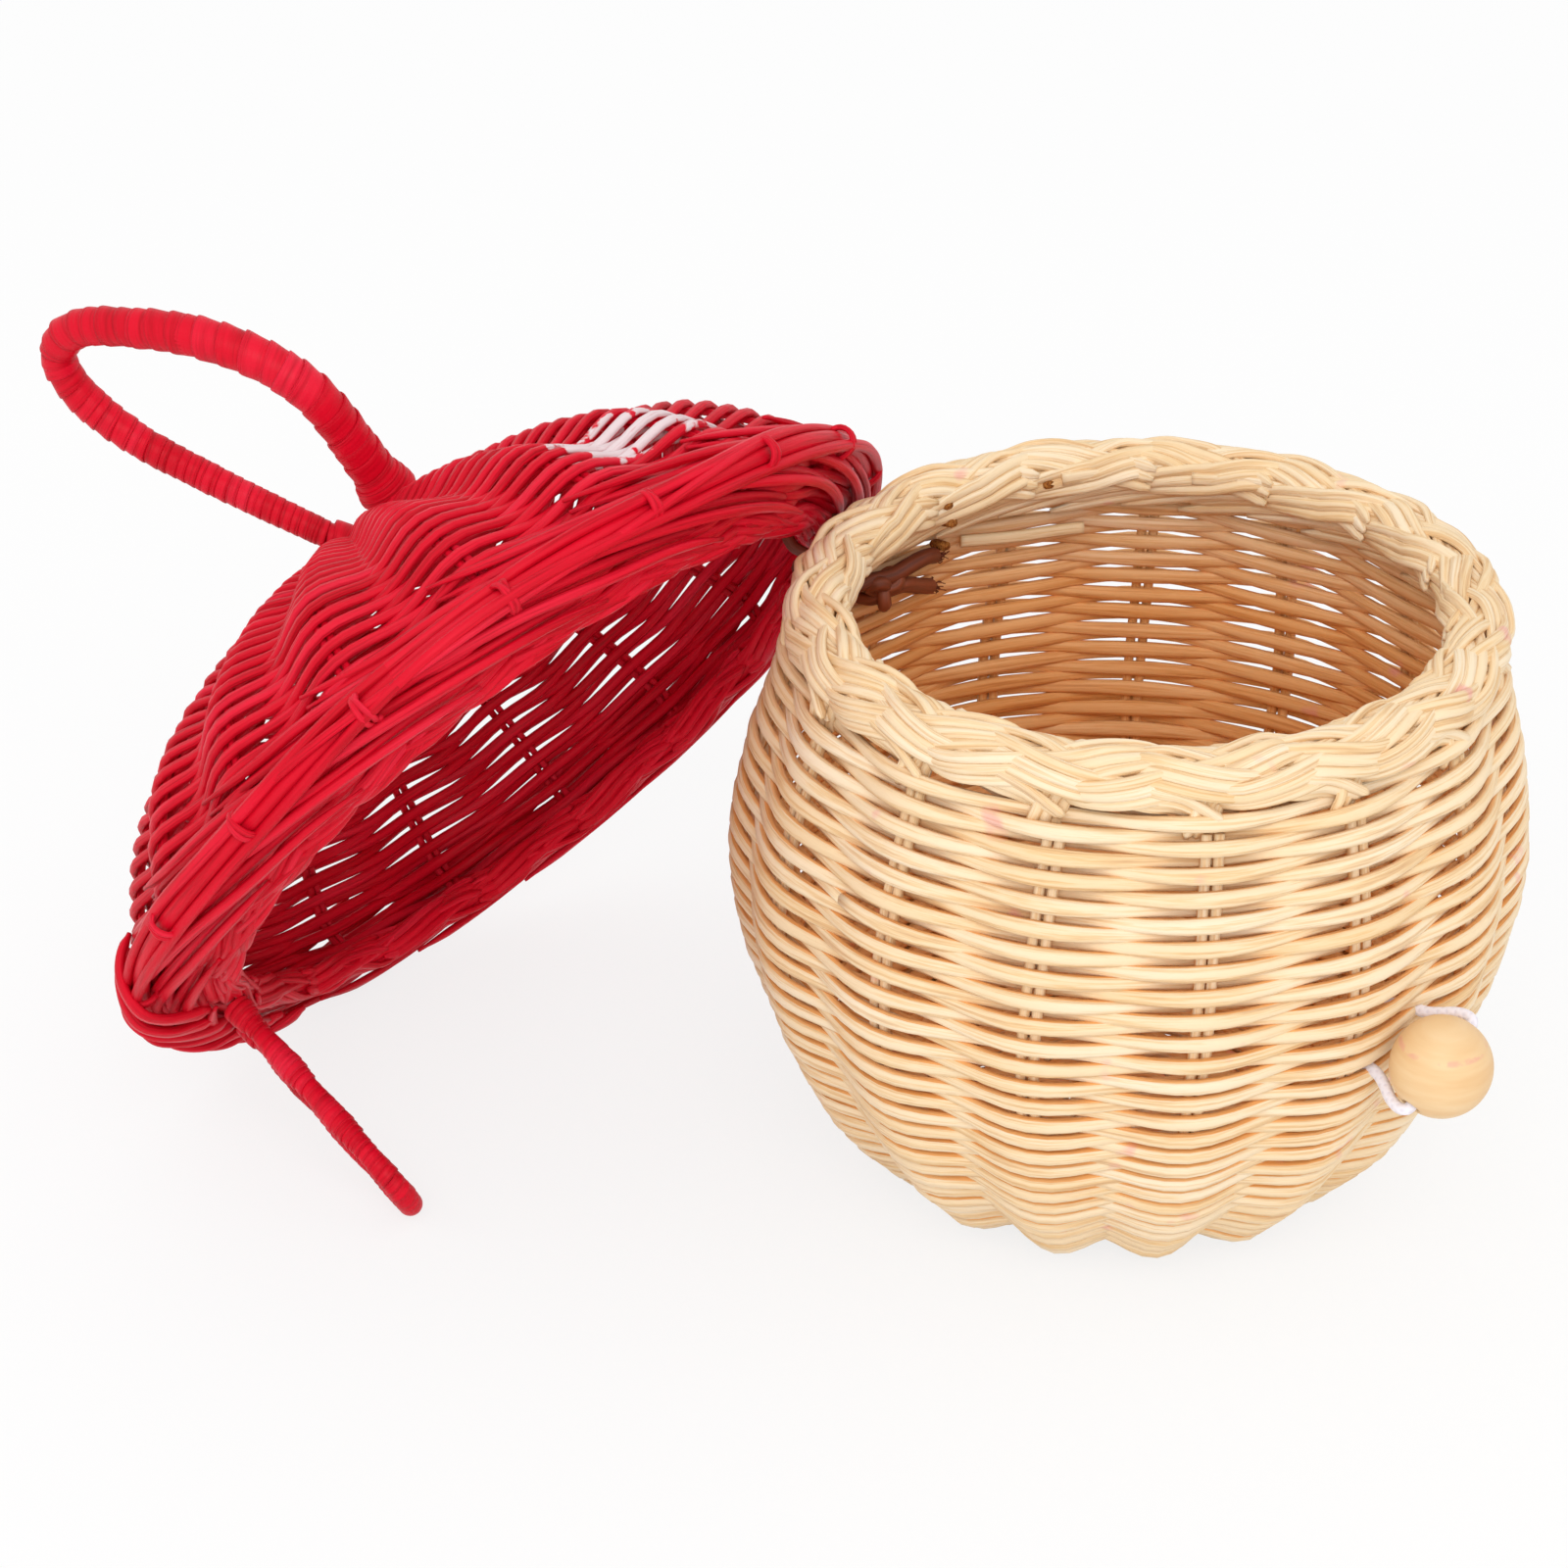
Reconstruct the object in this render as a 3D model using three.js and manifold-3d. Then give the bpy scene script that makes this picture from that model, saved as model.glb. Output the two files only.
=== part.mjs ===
import * as THREE from "three";
import Module from "manifold-3d";
import { mergeVertices } from "three/addons/utils/BufferGeometryUtils.js";

// A lidded cane basket: a round woven pot, a domed lid hinged on a cord tie,
// a bound carrying loop, a closing loop and a wooden ball on elastic.
// Millimetres, +Z up. The front, where the ball hangs, faces -Y.

const wasm = await Module();
wasm.setup();

const fullTurn = 2 * Math.PI;
const quarterTurn = Math.PI / 2;
const toRadians = THREE.MathUtils.degToRad;

// Clearances
const fitGap = 0.3;
const seatGap = 0.5;
const cordGap = 0.5;
const cutOverrun = 4;

// Pot
const potHeight = 122.8;
const bellyRadius = 75;
const wallThickness = 3.4;
const potStakeCount = 15;
const potRowPitch = 2.6;
const potWeaveDepth = 2;
const rimDepth = 9.3;
const wallTopHeight = potHeight - rimDepth;
const neckDepth = 3.1;
const neckHeight = wallTopHeight - neckDepth;
const neckDraw = 7.8;
const neckRadius = bellyRadius - neckDraw;
const wallTopDraw = 0.8;
const wallTopRadius = neckRadius - wallTopDraw;
const lobeDepthLow = 2.6;
const lobeDepthHigh = 0.4;
const lobeFadeHeight = 70;
const leanSide = 2.05;
const leanFront = 1.91;
const leanStartHeight = 60;
const baseThickness = 4;
const baseCrown = 0.8;
const potOutlineShares = [
  [0.537, 0], [0.756, 0.143], [0.887, 0.286], [0.965, 0.428],
  [0.997, 0.572], [0.973, 0.714], [0.918, 0.855],
];

// How far a row of the weave is drawn in: in front of a stake, between two, behind the next
const potPassShares = [0, 0.5, 1];

// Rim border of the pot, a plaited ring
const rimDraw = 0.8;
const rimOuterRadius = wallTopRadius - rimDraw;
const rimWidth = 10.6;
const rimSectionShares = [
  [0.28, 0], [0.94, 0], [1, 0.3], [0.96, 0.8], [0.7, 1], [0.2, 1], [0, 0.72], [0.06, 0.3],
];

// Stakes, each a pair of canes side by side
const stakeWidth = 3.6;
const stakeDepth = 1.8;
const stakeCornerShare = 0.3;
const stakeSteps = 6;

// Lid
const lidStakeCount = 17;
const stepsPerLidStake = 3;
const lidRowPitch = 2.9;
const lidWeaveDepth = 2;
const lidWeaveFullRadius = 40;
const lidPassShares = [0.4, 0, 1];
const lidShell = 3.2;
const lidBorderWidth = 5;
const lidBorderThickness = 3.8;
const openingRadius = neckRadius + seatGap;
const openingDrop = 6;
const flangeWidth = 9.9;
const flangeThickness = 2.9;
const domeEdgeRadius = openingRadius + lidBorderWidth + flangeWidth;
const domeEdgeHeight = 3;
const domeHeight = 50.6;
const domeOutlineShares = [
  [1.004, 0.16], [0.932, 0.356], [0.817, 0.553], [0.599, 0.751], [0.332, 0.909], [0.1, 0.988],
];
const hoopRodRadius = 2.4;
const hoopStandOff = 1;
const hoopRadius = domeEdgeRadius + hoopRodRadius + hoopStandOff;
const lashRadius = 0.6;
const hubRadius = 9;
const hubThickness = 2;
const ribWidth = 3.2;
const ribDepth = 1.6;
const ribSteps = 4;

// How the lid hangs on its tie: it flaps up about a line beside the rim, then turns about
// a line square to the open lid until it stands beside the pot
const lidSeatGap = 0.35;
const lidClosedHeight = neckHeight + lidSeatGap + lidBorderThickness / 2 + openingDrop;
const flapAngle = 55;
const flapStandOff = 2.3;
const flapBack = openingRadius + flapStandOff;
const flapDrop = 9.64;
const flapHeight = lidClosedHeight - flapDrop;
const turnAngle = 132.1;
const turnLeanBack = 56.03;
const turnLeanSide = -2;
const turnSide = -7.1;
const turnStandOff = 0.9;
const turnBack = flapBack + turnStandOff;
const turnDrop = 1.11;
const turnHeight = flapHeight - turnDrop;

// Carrying loop
const loopWidth = 44;
const loopHeight = 68;
const loopCoreRadius = 2;
const loopBindingRadius = 3.5;
const loopTurn = 45;
const loopTilt = 24;
const loopBaseSide = 5.5;
const loopSteps = 30;
const loopBareEnd = 5.2;
const loopOutlineShares = [
  [-0.27, 0], [-0.32, 0.22], [-0.38, 0.48], [-0.39, 0.72], [-0.27, 0.93], [-0.04, 1],
  [0.2, 0.92], [0.42, 0.74], [0.58, 0.5], [0.59, 0.3], [0.44, 0.12], [0.27, 0],
];
const footLashRadius = 0.9;
const footLiftShare = 0.8;

// Closing loop
const tabLength = 51;
const tabRootStandOff = 1.6;
const tabRootRadius = openingRadius + lidBorderWidth + tabRootStandOff;
const tabLegSpacing = 15.6;
const tabCoreRadius = 1.2;
const tabBindingRadius = 2.25;
const tabLeanIn = 5.7;
const tabLeanSide = 7;
const tabTwist = 11.5;
const tabSteps = 26;
const tabBareEnd = 3;
const tabLashRadius = 0.8;

// Ball button on elastic
const ballRadius = 10;
const ballBoreRadius = 1.8;
const ballHeight = 60.4;
const ballTurn = -3.6;
const ballBoreTilt = 32;
const elasticRadius = 1.2;
const elasticHoleRadius = 2.2;
const elasticHoleOffset = 8;
const elasticKnotRadius = 2.1;

// Hinge cord and its wall holes: each hole's place to the side and its drop below the wall's top.
// The routes run from a point of the wall's top, straight back from the pot's axis
const tieRadius = 1.1;
const tieHoleRadius = 1.7;
const tieKnotRadius = 2.3;
const tieKnotInset = 12;
const tieHoles = [
  { side: -16.69, drop: 9 },
  { side: -8.66, drop: 16.9 },
  { side: 18.51, drop: 52.9 },
];
const flangeSlotRadius = 2.3;
const hingeTieRoute = [
  [9.2, -7.6, -18.1], [5, -7.6, -12.9], [-1.5, -7.8, -9.3], [-8, -7.8, -8.3], [-13.4, -7.4, -8.8],
  [-15.9, -4.2, -9], [-16.8, 0, -9], [-18.6, 4.4, -7.5], [-17.3, 2.3, -4.3], [-18.2, 4.9, -2.9],
  [-18, 7, -0.7], [-16.4, 7.4, 1.7], [-14.2, 6.4, 3.4], [-12.2, 4.1, 3.9], [-11.7, 1.9, 2.7],
  [-11.6, -0.4, 1.1], [-13.3, -1.2, -1.1], [-12.2, 2.6, -6], [-10.5, 4.4, -11.5], [-9.4, 5, -14.9],
  [-8.7, 3.2, -16.8], [-8.2, -0.4, -16.9], [-7.5, -5.6, -16.9], [-4, -8.2, -16.6], [2, -8.2, -19.5],
  [8, -7.6, -23.9],
];
const looseTieRoute = [
  [20.6, 4.5, -54.7], [19.9, 2, -53.3], [19.1, -1.1, -52.9], [18, -5.4, -52.9], [17.2, -8.4, -52.1],
  [16.9, -9.2, -49.5], [17.1, -8.6, -45.5],
];

// Finishes
const naturalCane = { color: 0xf0d29a, roughness: 0.55 };
const redCane = { color: 0xc8102a, roughness: 0.5 };
const paleWood = { color: 0xe8c083, roughness: 0.45 };
const whiteElastic = { color: 0xe9e6ea, roughness: 0.6 };
const brownCord = { color: 0x4a2416, roughness: 0.75 };

const part = new THREE.Group();

function addPiece(parent, name, geometry, finish) {
  const mesh = new THREE.Mesh(geometry, new THREE.MeshStandardMaterial({ ...finish, metalness: 0 }));
  mesh.name = name;
  parent.add(mesh);
  return mesh;
}

function numbered(stem, index) {
  return `${stem}_${String(index + 1).padStart(2, "0")}`;
}

function toSolid(geometry) {
  const bare = geometry.clone();
  bare.deleteAttribute("normal");
  bare.deleteAttribute("uv");
  const merged = mergeVertices(bare);
  return new wasm.Manifold(new wasm.Mesh({
    numProp: 3,
    vertProperties: new Float32Array(merged.attributes.position.array),
    triVerts: new Uint32Array(merged.index.array),
  }));
}

function toGeometry(solid) {
  const mesh = solid.getMesh();
  const geometry = new THREE.BufferGeometry();
  geometry.setAttribute("position", new THREE.BufferAttribute(new Float32Array(mesh.vertProperties), 3));
  geometry.setIndex(new THREE.BufferAttribute(new Uint32Array(mesh.triVerts), 1));
  geometry.computeVertexNormals();
  return geometry;
}

function cutAway(geometry, cutters) {
  return toGeometry(cutters.reduce((rest, cutter) => rest.subtract(toSolid(cutter)), toSolid(geometry)));
}

// A closed outline of [radius, height] pairs turned about Z
function turned(outline, segments) {
  const closed = [...outline, outline[0]].map(([radius, height]) => new THREE.Vector2(radius, height));
  return new THREE.LatheGeometry(closed, segments).rotateX(quarterTurn);
}

function reshape(geometry, place) {
  const position = geometry.attributes.position;
  const point = new THREE.Vector3();
  for (let index = 0; index < position.count; index += 1) {
    point.fromBufferAttribute(position, index);
    place(point);
    position.setXYZ(index, point.x, point.y, point.z);
  }
  geometry.computeVertexNormals();
  return geometry;
}

// A shell of woven rows: outer runs from the foot up, as [radius, height] pairs
function wovenShell(outer, inside, stakeCount, passShares, depthAt) {
  const segments = 2 * stakeCount;
  const geometry = turned([...outer, ...inside], segments);
  const position = geometry.attributes.position;
  const columnLength = outer.length + inside.length + 1;
  for (let index = 0; index < position.count; index += 1) {
    const row = index % columnLength;
    const column = Math.floor(index / columnLength) % segments;
    if (row > 0 && row < outer.length - 1) {
      const pass = column % 2 === 1 ? 1 : 2 * ((column / 2 + row) % 2);
      const run = new THREE.Vector2(...outer[row + 1]).sub(new THREE.Vector2(...outer[row - 1])).normalize();
      const depth = passShares[pass] * depthAt(outer[row][0], run);
      const scale = 1 - (depth * run.y) / outer[row][0];
      position.setX(index, position.getX(index) * scale);
      position.setY(index, position.getY(index) * scale);
      position.setZ(index, position.getZ(index) + depth * run.x);
    }
  }
  geometry.computeVertexNormals();
  return geometry;
}

// Rows about one pitch apart along an outline
function rowsAlong(curve, pitch) {
  return curve.getSpacedPoints(Math.round(curve.getLength() / pitch)).map((point) => [point.x, point.z]);
}

function curveThrough(outline) {
  return new THREE.CatmullRomCurve3(outline.map(([radius, height]) => new THREE.Vector3(radius, 0, height)));
}

function oblong(width, depth, cornerShare) {
  const corner = depth * cornerShare;
  const halfWidth = width / 2;
  const halfDepth = depth / 2;
  return new THREE.Shape([
    new THREE.Vector2(-halfWidth, corner - halfDepth), new THREE.Vector2(corner - halfWidth, -halfDepth),
    new THREE.Vector2(halfWidth - corner, -halfDepth), new THREE.Vector2(halfWidth, corner - halfDepth),
    new THREE.Vector2(halfWidth, halfDepth - corner), new THREE.Vector2(halfWidth - corner, halfDepth),
    new THREE.Vector2(corner - halfWidth, halfDepth), new THREE.Vector2(-halfWidth, halfDepth - corner),
  ]);
}

function disc(radius, sides) {
  const corners = Array.from({ length: sides }, (_, index) => {
    const angle = (index / sides) * fullTurn;
    return new THREE.Vector2(radius * Math.cos(angle), radius * Math.sin(angle));
  });
  return new THREE.Shape(corners);
}

function collar(innerRadius, outerRadius, sides) {
  const shape = disc(outerRadius, sides);
  shape.holes.push(new THREE.Path(disc(innerRadius, sides).getPoints(1)));
  return shape;
}

function sweep(shape, points, steps) {
  const extrudePath = new THREE.CatmullRomCurve3(points);
  return new THREE.ExtrudeGeometry(shape, { steps, extrudePath, curveSegments: 1 });
}

function routeFrom(start, route) {
  return route.map(([x, y, z]) => new THREE.Vector3(x, y, z).add(start));
}

// The stretch of a curve left when a bare length is kept off both ends
function innerStretch(curve, bareLength, count) {
  const bareShare = bareLength / curve.getLength();
  return Array.from({ length: count }, (_, index) => {
    return curve.getPointAt(bareShare + (1 - 2 * bareShare) * (index / (count - 1)));
  });
}

function wallHole(azimuth, height, radius, holeRadius) {
  const length = wallThickness + 2 * cutOverrun;
  return new THREE.CylinderGeometry(holeRadius, holeRadius, length, 8)
    .rotateZ(-quarterTurn)
    .translate(radius - wallThickness / 2, 0, height)
    .rotateZ(azimuth);
}

// Pot

const potOutline = [
  ...potOutlineShares.map(([across, up]) => [across * bellyRadius, up * potHeight]),
  [neckRadius, neckHeight], [wallTopRadius, wallTopHeight],
];
const potCurve = curveThrough(potOutline);

function potRadiusAt(height) {
  const points = potCurve.getPoints(200);
  const above = points.findIndex((point) => point.z >= height);
  const low = points[Math.max(above - 1, 0)];
  const high = points[above];
  const share = high.z > low.z ? (height - low.z) / (high.z - low.z) : 0;
  return low.x + share * (high.x - low.x);
}

function lobeDepthAt(height) {
  const fade = Math.min(height / lobeFadeHeight, 1);
  return lobeDepthLow + (lobeDepthHigh - lobeDepthLow) * fade;
}

function lean(point) {
  const share = Math.max(point.z - leanStartHeight, 0) / (potHeight - leanStartHeight);
  point.x += leanSide * share;
  point.y -= leanFront * share;
}

// The wall is fullest between two stakes and drawn in where a stake stands
function ripple(point) {
  const azimuth = Math.atan2(point.y, point.x) - quarterTurn;
  const drawnIn = lobeDepthAt(point.z) * (0.5 + 0.5 * Math.cos(potStakeCount * azimuth));
  const radius = Math.hypot(point.x, point.y);
  const scale = (radius - drawnIn) / radius;
  point.x *= scale;
  point.y *= scale;
  lean(point);
}

function addPotWall() {
  const inside = potOutline.map(([radius, height]) => [radius - wallThickness, height]).reverse();
  const rows = rowsAlong(potCurve, potRowPitch);
  const depthAt = (radius, run) => potWeaveDepth * run.y;
  const woven = wovenShell(rows, inside, potStakeCount, potPassShares, depthAt);
  const wall = reshape(woven.rotateZ(Math.PI), ripple);
  const cordHoles = tieHoles.map(({ side, drop }) => {
    const height = wallTopHeight - drop;
    const radius = potRadiusAt(height);
    return wallHole(Math.acos(side / radius), height, radius, tieHoleRadius);
  });
  const elasticHoles = [-1, 1].map((side) => {
    const across = side * elasticHoleOffset;
    const length = wallThickness + 2 * cutOverrun;
    const rise = across * Math.sin(toRadians(ballBoreTilt));
    return new THREE.CylinderGeometry(elasticHoleRadius, elasticHoleRadius, length, 8)
      .translate(across * Math.cos(toRadians(ballBoreTilt)), wallThickness / 2 - potRadiusAt(ballHeight), 0)
      .translate(0, 0, ballHeight + rise)
      .rotateZ(toRadians(ballTurn));
  });
  addPiece(part, "pot_wall", cutAway(wall, [...cordHoles, ...elasticHoles]), naturalCane);
}

function addPotBase() {
  const radius = baseRadius();
  const outline = [[0, 0], [radius - baseCrown, 0], [radius, baseCrown], [radius, baseThickness - baseCrown],
    [radius - baseCrown, baseThickness], [0, baseThickness + baseCrown]];
  const profile = outline.map(([across, height]) => new THREE.Vector2(across, height));
  addPiece(part, "pot_base", new THREE.LatheGeometry(profile, 40).rotateX(quarterTurn), naturalCane);
}

function baseRadius() {
  return potOutline[0][0] - wallThickness - lobeDepthLow - fitGap;
}

function addPotBorder() {
  const bottom = wallTopHeight + fitGap;
  const thickness = potHeight - bottom;
  const outline = rimSectionShares.map(([across, up]) => {
    return [rimOuterRadius - rimWidth * (1 - across), bottom + thickness * up];
  });
  const border = reshape(turned(outline, potStakeCount * 3), lean);
  addPiece(part, "pot_border", border, naturalCane);
}

function addPotStakes() {
  const bottom = baseThickness + baseCrown + fitGap;
  const top = wallTopHeight - fitGap;
  const points = Array.from({ length: 9 }, (_, index) => {
    const height = bottom + (top - bottom) * (index / 8);
    const inset = wallThickness + lobeDepthAt(height) + fitGap + seatGap + stakeDepth / 2;
    return new THREE.Vector3(potRadiusAt(height) - inset, 0, height);
  });
  for (let index = 0; index < potStakeCount; index += 1) {
    const stake = sweep(oblong(stakeWidth, stakeDepth, stakeCornerShare), points, stakeSteps);
    stake.rotateZ(quarterTurn + (index / potStakeCount) * fullTurn);
    addPiece(part, numbered("pot_stake", index), reshape(stake, lean), naturalCane);
  }
}

// Ball button and elastic

const ballStandOff = potRadiusAt(ballHeight) + ballRadius + seatGap;

// Lays a curve drawn along the ball's bore (x) and into the pot (y) into place
function ballPlace(geometry) {
  return geometry
    .rotateY(-toRadians(ballBoreTilt))
    .translate(0, -ballStandOff, ballHeight)
    .rotateZ(toRadians(ballTurn));
}

function addBall() {
  const boreEdge = Math.asin(ballBoreRadius / ballRadius);
  const steps = 9;
  const outline = Array.from({ length: steps + 1 }, (_, index) => {
    const angle = boreEdge + (Math.PI - 2 * boreEdge) * (index / steps);
    return [ballRadius * Math.sin(angle), -ballRadius * Math.cos(angle)];
  });
  const ball = turned(outline, 14).rotateY(quarterTurn);
  addPiece(part, "button_ball", ballPlace(ball), paleWood);
}

function addElastic() {
  const wallOuter = ballStandOff - potRadiusAt(ballHeight);
  const wallInner = wallOuter + wallThickness;
  const bend = ballRadius + 2.4 * elasticRadius;
  const half = [
    [0.55 * ballRadius, 0], [ballRadius, 0],
    [bend, elasticRadius], [bend + elasticRadius, 0.35 * ballRadius],
    [1.28 * ballRadius, 0.64 * ballRadius],
    [elasticHoleOffset + 1.6 * elasticRadius, wallOuter - 1.4 * elasticRadius],
    [elasticHoleOffset, wallOuter + elasticRadius],
    [elasticHoleOffset - 0.3 * elasticRadius, wallInner + elasticRadius],
    [0.6 * ballRadius, wallInner + 3 * elasticRadius],
    [elasticKnotRadius + fitGap, wallInner + 3 * elasticRadius],
  ];
  const mirrored = half.map(([along, inward]) => [-along, inward]).reverse();
  const route = [...mirrored, ...half].map(([along, inward]) => new THREE.Vector3(along, inward, 0));
  addPiece(part, "elastic_cord", ballPlace(sweep(disc(elasticRadius, 8), route, 32)), whiteElastic);
  const knot = new THREE.SphereGeometry(elasticKnotRadius, 8, 6)
    .translate(0, wallInner + 3 * elasticRadius, 0);
  addPiece(part, "elastic_knot", ballPlace(knot), whiteElastic);
}

// Lid, drawn about its own axis with the plane of the edge hoop at height zero

const closedLeanShare = (neckHeight - leanStartHeight) / (potHeight - leanStartHeight);
const closedCentre = new THREE.Vector3(leanSide, -leanFront, 0).multiplyScalar(closedLeanShare);
closedCentre.z = lidClosedHeight;
const flapPoint = new THREE.Vector3(0, flapBack, flapHeight);
const turnPoint = new THREE.Vector3(turnSide, turnBack, turnHeight);
const turnAxis = new THREE.Vector3(
  Math.sin(toRadians(turnLeanSide)),
  Math.cos(toRadians(turnLeanSide)) * Math.sin(toRadians(turnLeanBack)),
  Math.cos(toRadians(turnLeanSide)) * Math.cos(toRadians(turnLeanBack)),
);
const lidTurn = new THREE.Group();
lidTurn.position.copy(turnPoint);
lidTurn.quaternion.setFromAxisAngle(turnAxis, -toRadians(turnAngle));
const lidFlap = new THREE.Group();
lidFlap.position.copy(flapPoint).sub(turnPoint);
lidFlap.rotation.x = -toRadians(flapAngle);
const lid = new THREE.Group();
lid.position.copy(closedCentre).sub(flapPoint);
lidFlap.add(lid);
lidTurn.add(lidFlap);
part.add(lidTurn);

const lidSegments = lidStakeCount * stepsPerLidStake;
const domeOuter = [
  [domeEdgeRadius, domeEdgeHeight],
  ...domeOutlineShares.map(([across, up]) => [across * domeEdgeRadius, up * domeHeight]),
];

const domeRows = [...rowsAlong(curveThrough(domeOuter), lidRowPitch), [0, domeHeight]];

function domeHeightAt(radius) {
  const outside = [...domeRows].reverse();
  const next = outside.findIndex(([across]) => across >= radius);
  const [lowRadius, lowHeight] = outside[Math.max(next - 1, 0)];
  const [highRadius, highHeight] = outside[next];
  const share = highRadius > lowRadius ? (radius - lowRadius) / (highRadius - lowRadius) : 0;
  return lowHeight + share * (highHeight - lowHeight);
}

// The dome's outline moved inwards along its own normal
function domeInset(distance) {
  return domeOuter.map(([radius, height], index) => {
    if (index === 0) {
      return [radius - distance, height];
    }
    const [beforeRadius, beforeHeight] = domeOuter[index - 1];
    const [afterRadius, afterHeight] = domeOuter[index + 1] ?? [0, domeHeight];
    const run = new THREE.Vector2(afterRadius - beforeRadius, afterHeight - beforeHeight).normalize();
    return [radius - distance * run.y, height + distance * run.x];
  });
}

function addDome() {
  const inside = [...domeInset(lidShell), [0, domeHeight - lidShell]].reverse();
  const dome = wovenShell(domeRows, inside, lidStakeCount, lidPassShares, (radius) => {
    return lidWeaveDepth * Math.min(radius / lidWeaveFullRadius, 1);
  });
  addPiece(lid, "lid_dome", dome, redCane);
}

function addFlange() {
  const innerEdge = openingRadius + lidBorderWidth + fitGap;
  const edgeBottom = -openingDrop - lidBorderThickness / 2;
  const outline = [
    [domeEdgeRadius, -domeEdgeHeight], [domeEdgeRadius - lidShell, -domeEdgeHeight],
    [(innerEdge + domeEdgeRadius - lidShell) / 2, (edgeBottom + flangeThickness - domeEdgeHeight) / 2],
    [innerEdge, edgeBottom + flangeThickness], [innerEdge, edgeBottom],
    [(innerEdge + domeEdgeRadius) / 2 + fitGap, (edgeBottom - domeEdgeHeight) / 2 - lidShell / 2],
  ];
  const slot = new THREE.CylinderGeometry(flangeSlotRadius, flangeSlotRadius, 2 * cutOverrun, 8)
    .rotateX(quarterTurn)
    .translate(0, innerEdge + flangeSlotRadius - cordGap, -openingDrop);
  addPiece(lid, "lid_flange", cutAway(turned(outline, lidSegments), [slot]), redCane);
}

function addLidBorder() {
  const halfHeight = lidBorderThickness / 2;
  const bevel = lidBorderThickness / 4;
  const outer = openingRadius + lidBorderWidth;
  const outline = [
    [openingRadius, bevel - halfHeight], [openingRadius + bevel, -halfHeight], [outer - bevel, -halfHeight],
    [outer, bevel - halfHeight], [outer, halfHeight - bevel], [outer - bevel, halfHeight],
    [openingRadius + bevel, halfHeight], [openingRadius, halfHeight - bevel],
  ].map(([radius, height]) => [radius, height - openingDrop]);
  addPiece(lid, "lid_border", turned(outline, lidSegments), redCane);
}

function addHoop() {
  const hoop = new THREE.TorusGeometry(hoopRadius, hoopRodRadius, 6, lidSegments);
  addPiece(lid, "lid_edge_hoop", hoop, redCane);
}

function lidStakeAzimuth(index) {
  return -quarterTurn + (index / lidStakeCount) * fullTurn;
}

function addLashings() {
  const ringRadius = hoopRodRadius + fitGap + lashRadius;
  for (let index = 0; index < lidStakeCount; index += 1) {
    const lash = new THREE.TorusGeometry(ringRadius, lashRadius, 5, 9)
      .rotateX(quarterTurn)
      .translate(hoopRadius, 0, 0)
      .rotateZ(lidStakeAzimuth(index));
    addPiece(lid, numbered("lid_lashing", index), lash, redCane);
  }
}

// All the lid's ribs cross in one knot under the crown, so they are one piece
function addRibs() {
  const inset = lidShell + fitGap + seatGap + ribDepth / 2;
  const route = domeInset(inset).reverse().map(([radius, height]) => new THREE.Vector3(radius, 0, height));
  const hubTop = domeHeightAt(hubRadius) - lidShell - fitGap - seatGap;
  route.unshift(new THREE.Vector3(hubRadius / 3, 0, hubTop - hubThickness / 2));
  const ribs = Array.from({ length: lidStakeCount }, (_, index) => {
    const rib = sweep(oblong(ribWidth, ribDepth, stakeCornerShare), route, ribSteps);
    return toSolid(rib.rotateZ(lidStakeAzimuth(index)));
  });
  const hub = new THREE.CylinderGeometry(hubRadius, hubRadius, hubThickness, lidStakeCount)
    .rotateX(quarterTurn)
    .translate(0, 0, hubTop - hubThickness / 2);
  const joined = ribs.reduce((sum, rib) => sum.add(rib), toSolid(hub));
  addPiece(lid, "lid_ribs", toGeometry(joined), redCane);
}

// Carrying loop, drawn across (x) and up (z) and then turned and tilted on the crown

function addCarryingLoop() {
  const across = new THREE.Vector3(Math.cos(toRadians(loopTurn)), Math.sin(toRadians(loopTurn)), 0);
  const forward = new THREE.Vector3(across.y, -across.x, 0);
  const upward = new THREE.Vector3(0, 0, Math.cos(toRadians(loopTilt)))
    .addScaledVector(forward, Math.sin(toRadians(loopTilt)));
  const base = new THREE.Vector3(loopBaseSide, loopBaseSide, 0);
  const points = loopOutlineShares.map(([acrossShare, upShare], index) => {
    const foot = base.clone().addScaledVector(across, acrossShare * loopWidth);
    const isFoot = index === 0 || index === loopOutlineShares.length - 1;
    const lift = isFoot ? fitGap + loopCoreRadius * footLiftShare : 0;
    foot.z = domeHeightAt(Math.hypot(foot.x, foot.y)) + lift;
    return foot.addScaledVector(upward, upShare * loopHeight);
  });
  addPiece(lid, "handle_core", sweep(disc(loopCoreRadius, 6), points, loopSteps), redCane);
  const curve = new THREE.CatmullRomCurve3(points);
  const bound = innerStretch(curve, loopBareEnd, loopSteps);
  const binding = sweep(collar(loopCoreRadius + cordGap, loopBindingRadius, 8), bound, loopSteps);
  addPiece(lid, "handle_binding", binding, redCane);
  [0, 1].forEach((share) => {
    const foot = curve.getPointAt(share);
    const along = curve.getTangentAt(share);
    const inward = share === 0 ? 1 : -1;
    const lash = new THREE.TorusGeometry(loopCoreRadius + fitGap + footLashRadius, footLashRadius, 6, 10);
    lash.applyQuaternion(new THREE.Quaternion().setFromUnitVectors(new THREE.Vector3(0, 0, 1), along));
    const seat = foot.clone().addScaledVector(along, inward * (loopBareEnd - footLashRadius - fitGap));
    addPiece(lid, share === 0 ? "handle_foot_lashing_left" : "handle_foot_lashing_right",
      lash.translate(seat.x, seat.y, seat.z), redCane);
  });
}

// Closing loop, a hairpin drawn across (x) and down (z) from the lid's front edge

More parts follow.
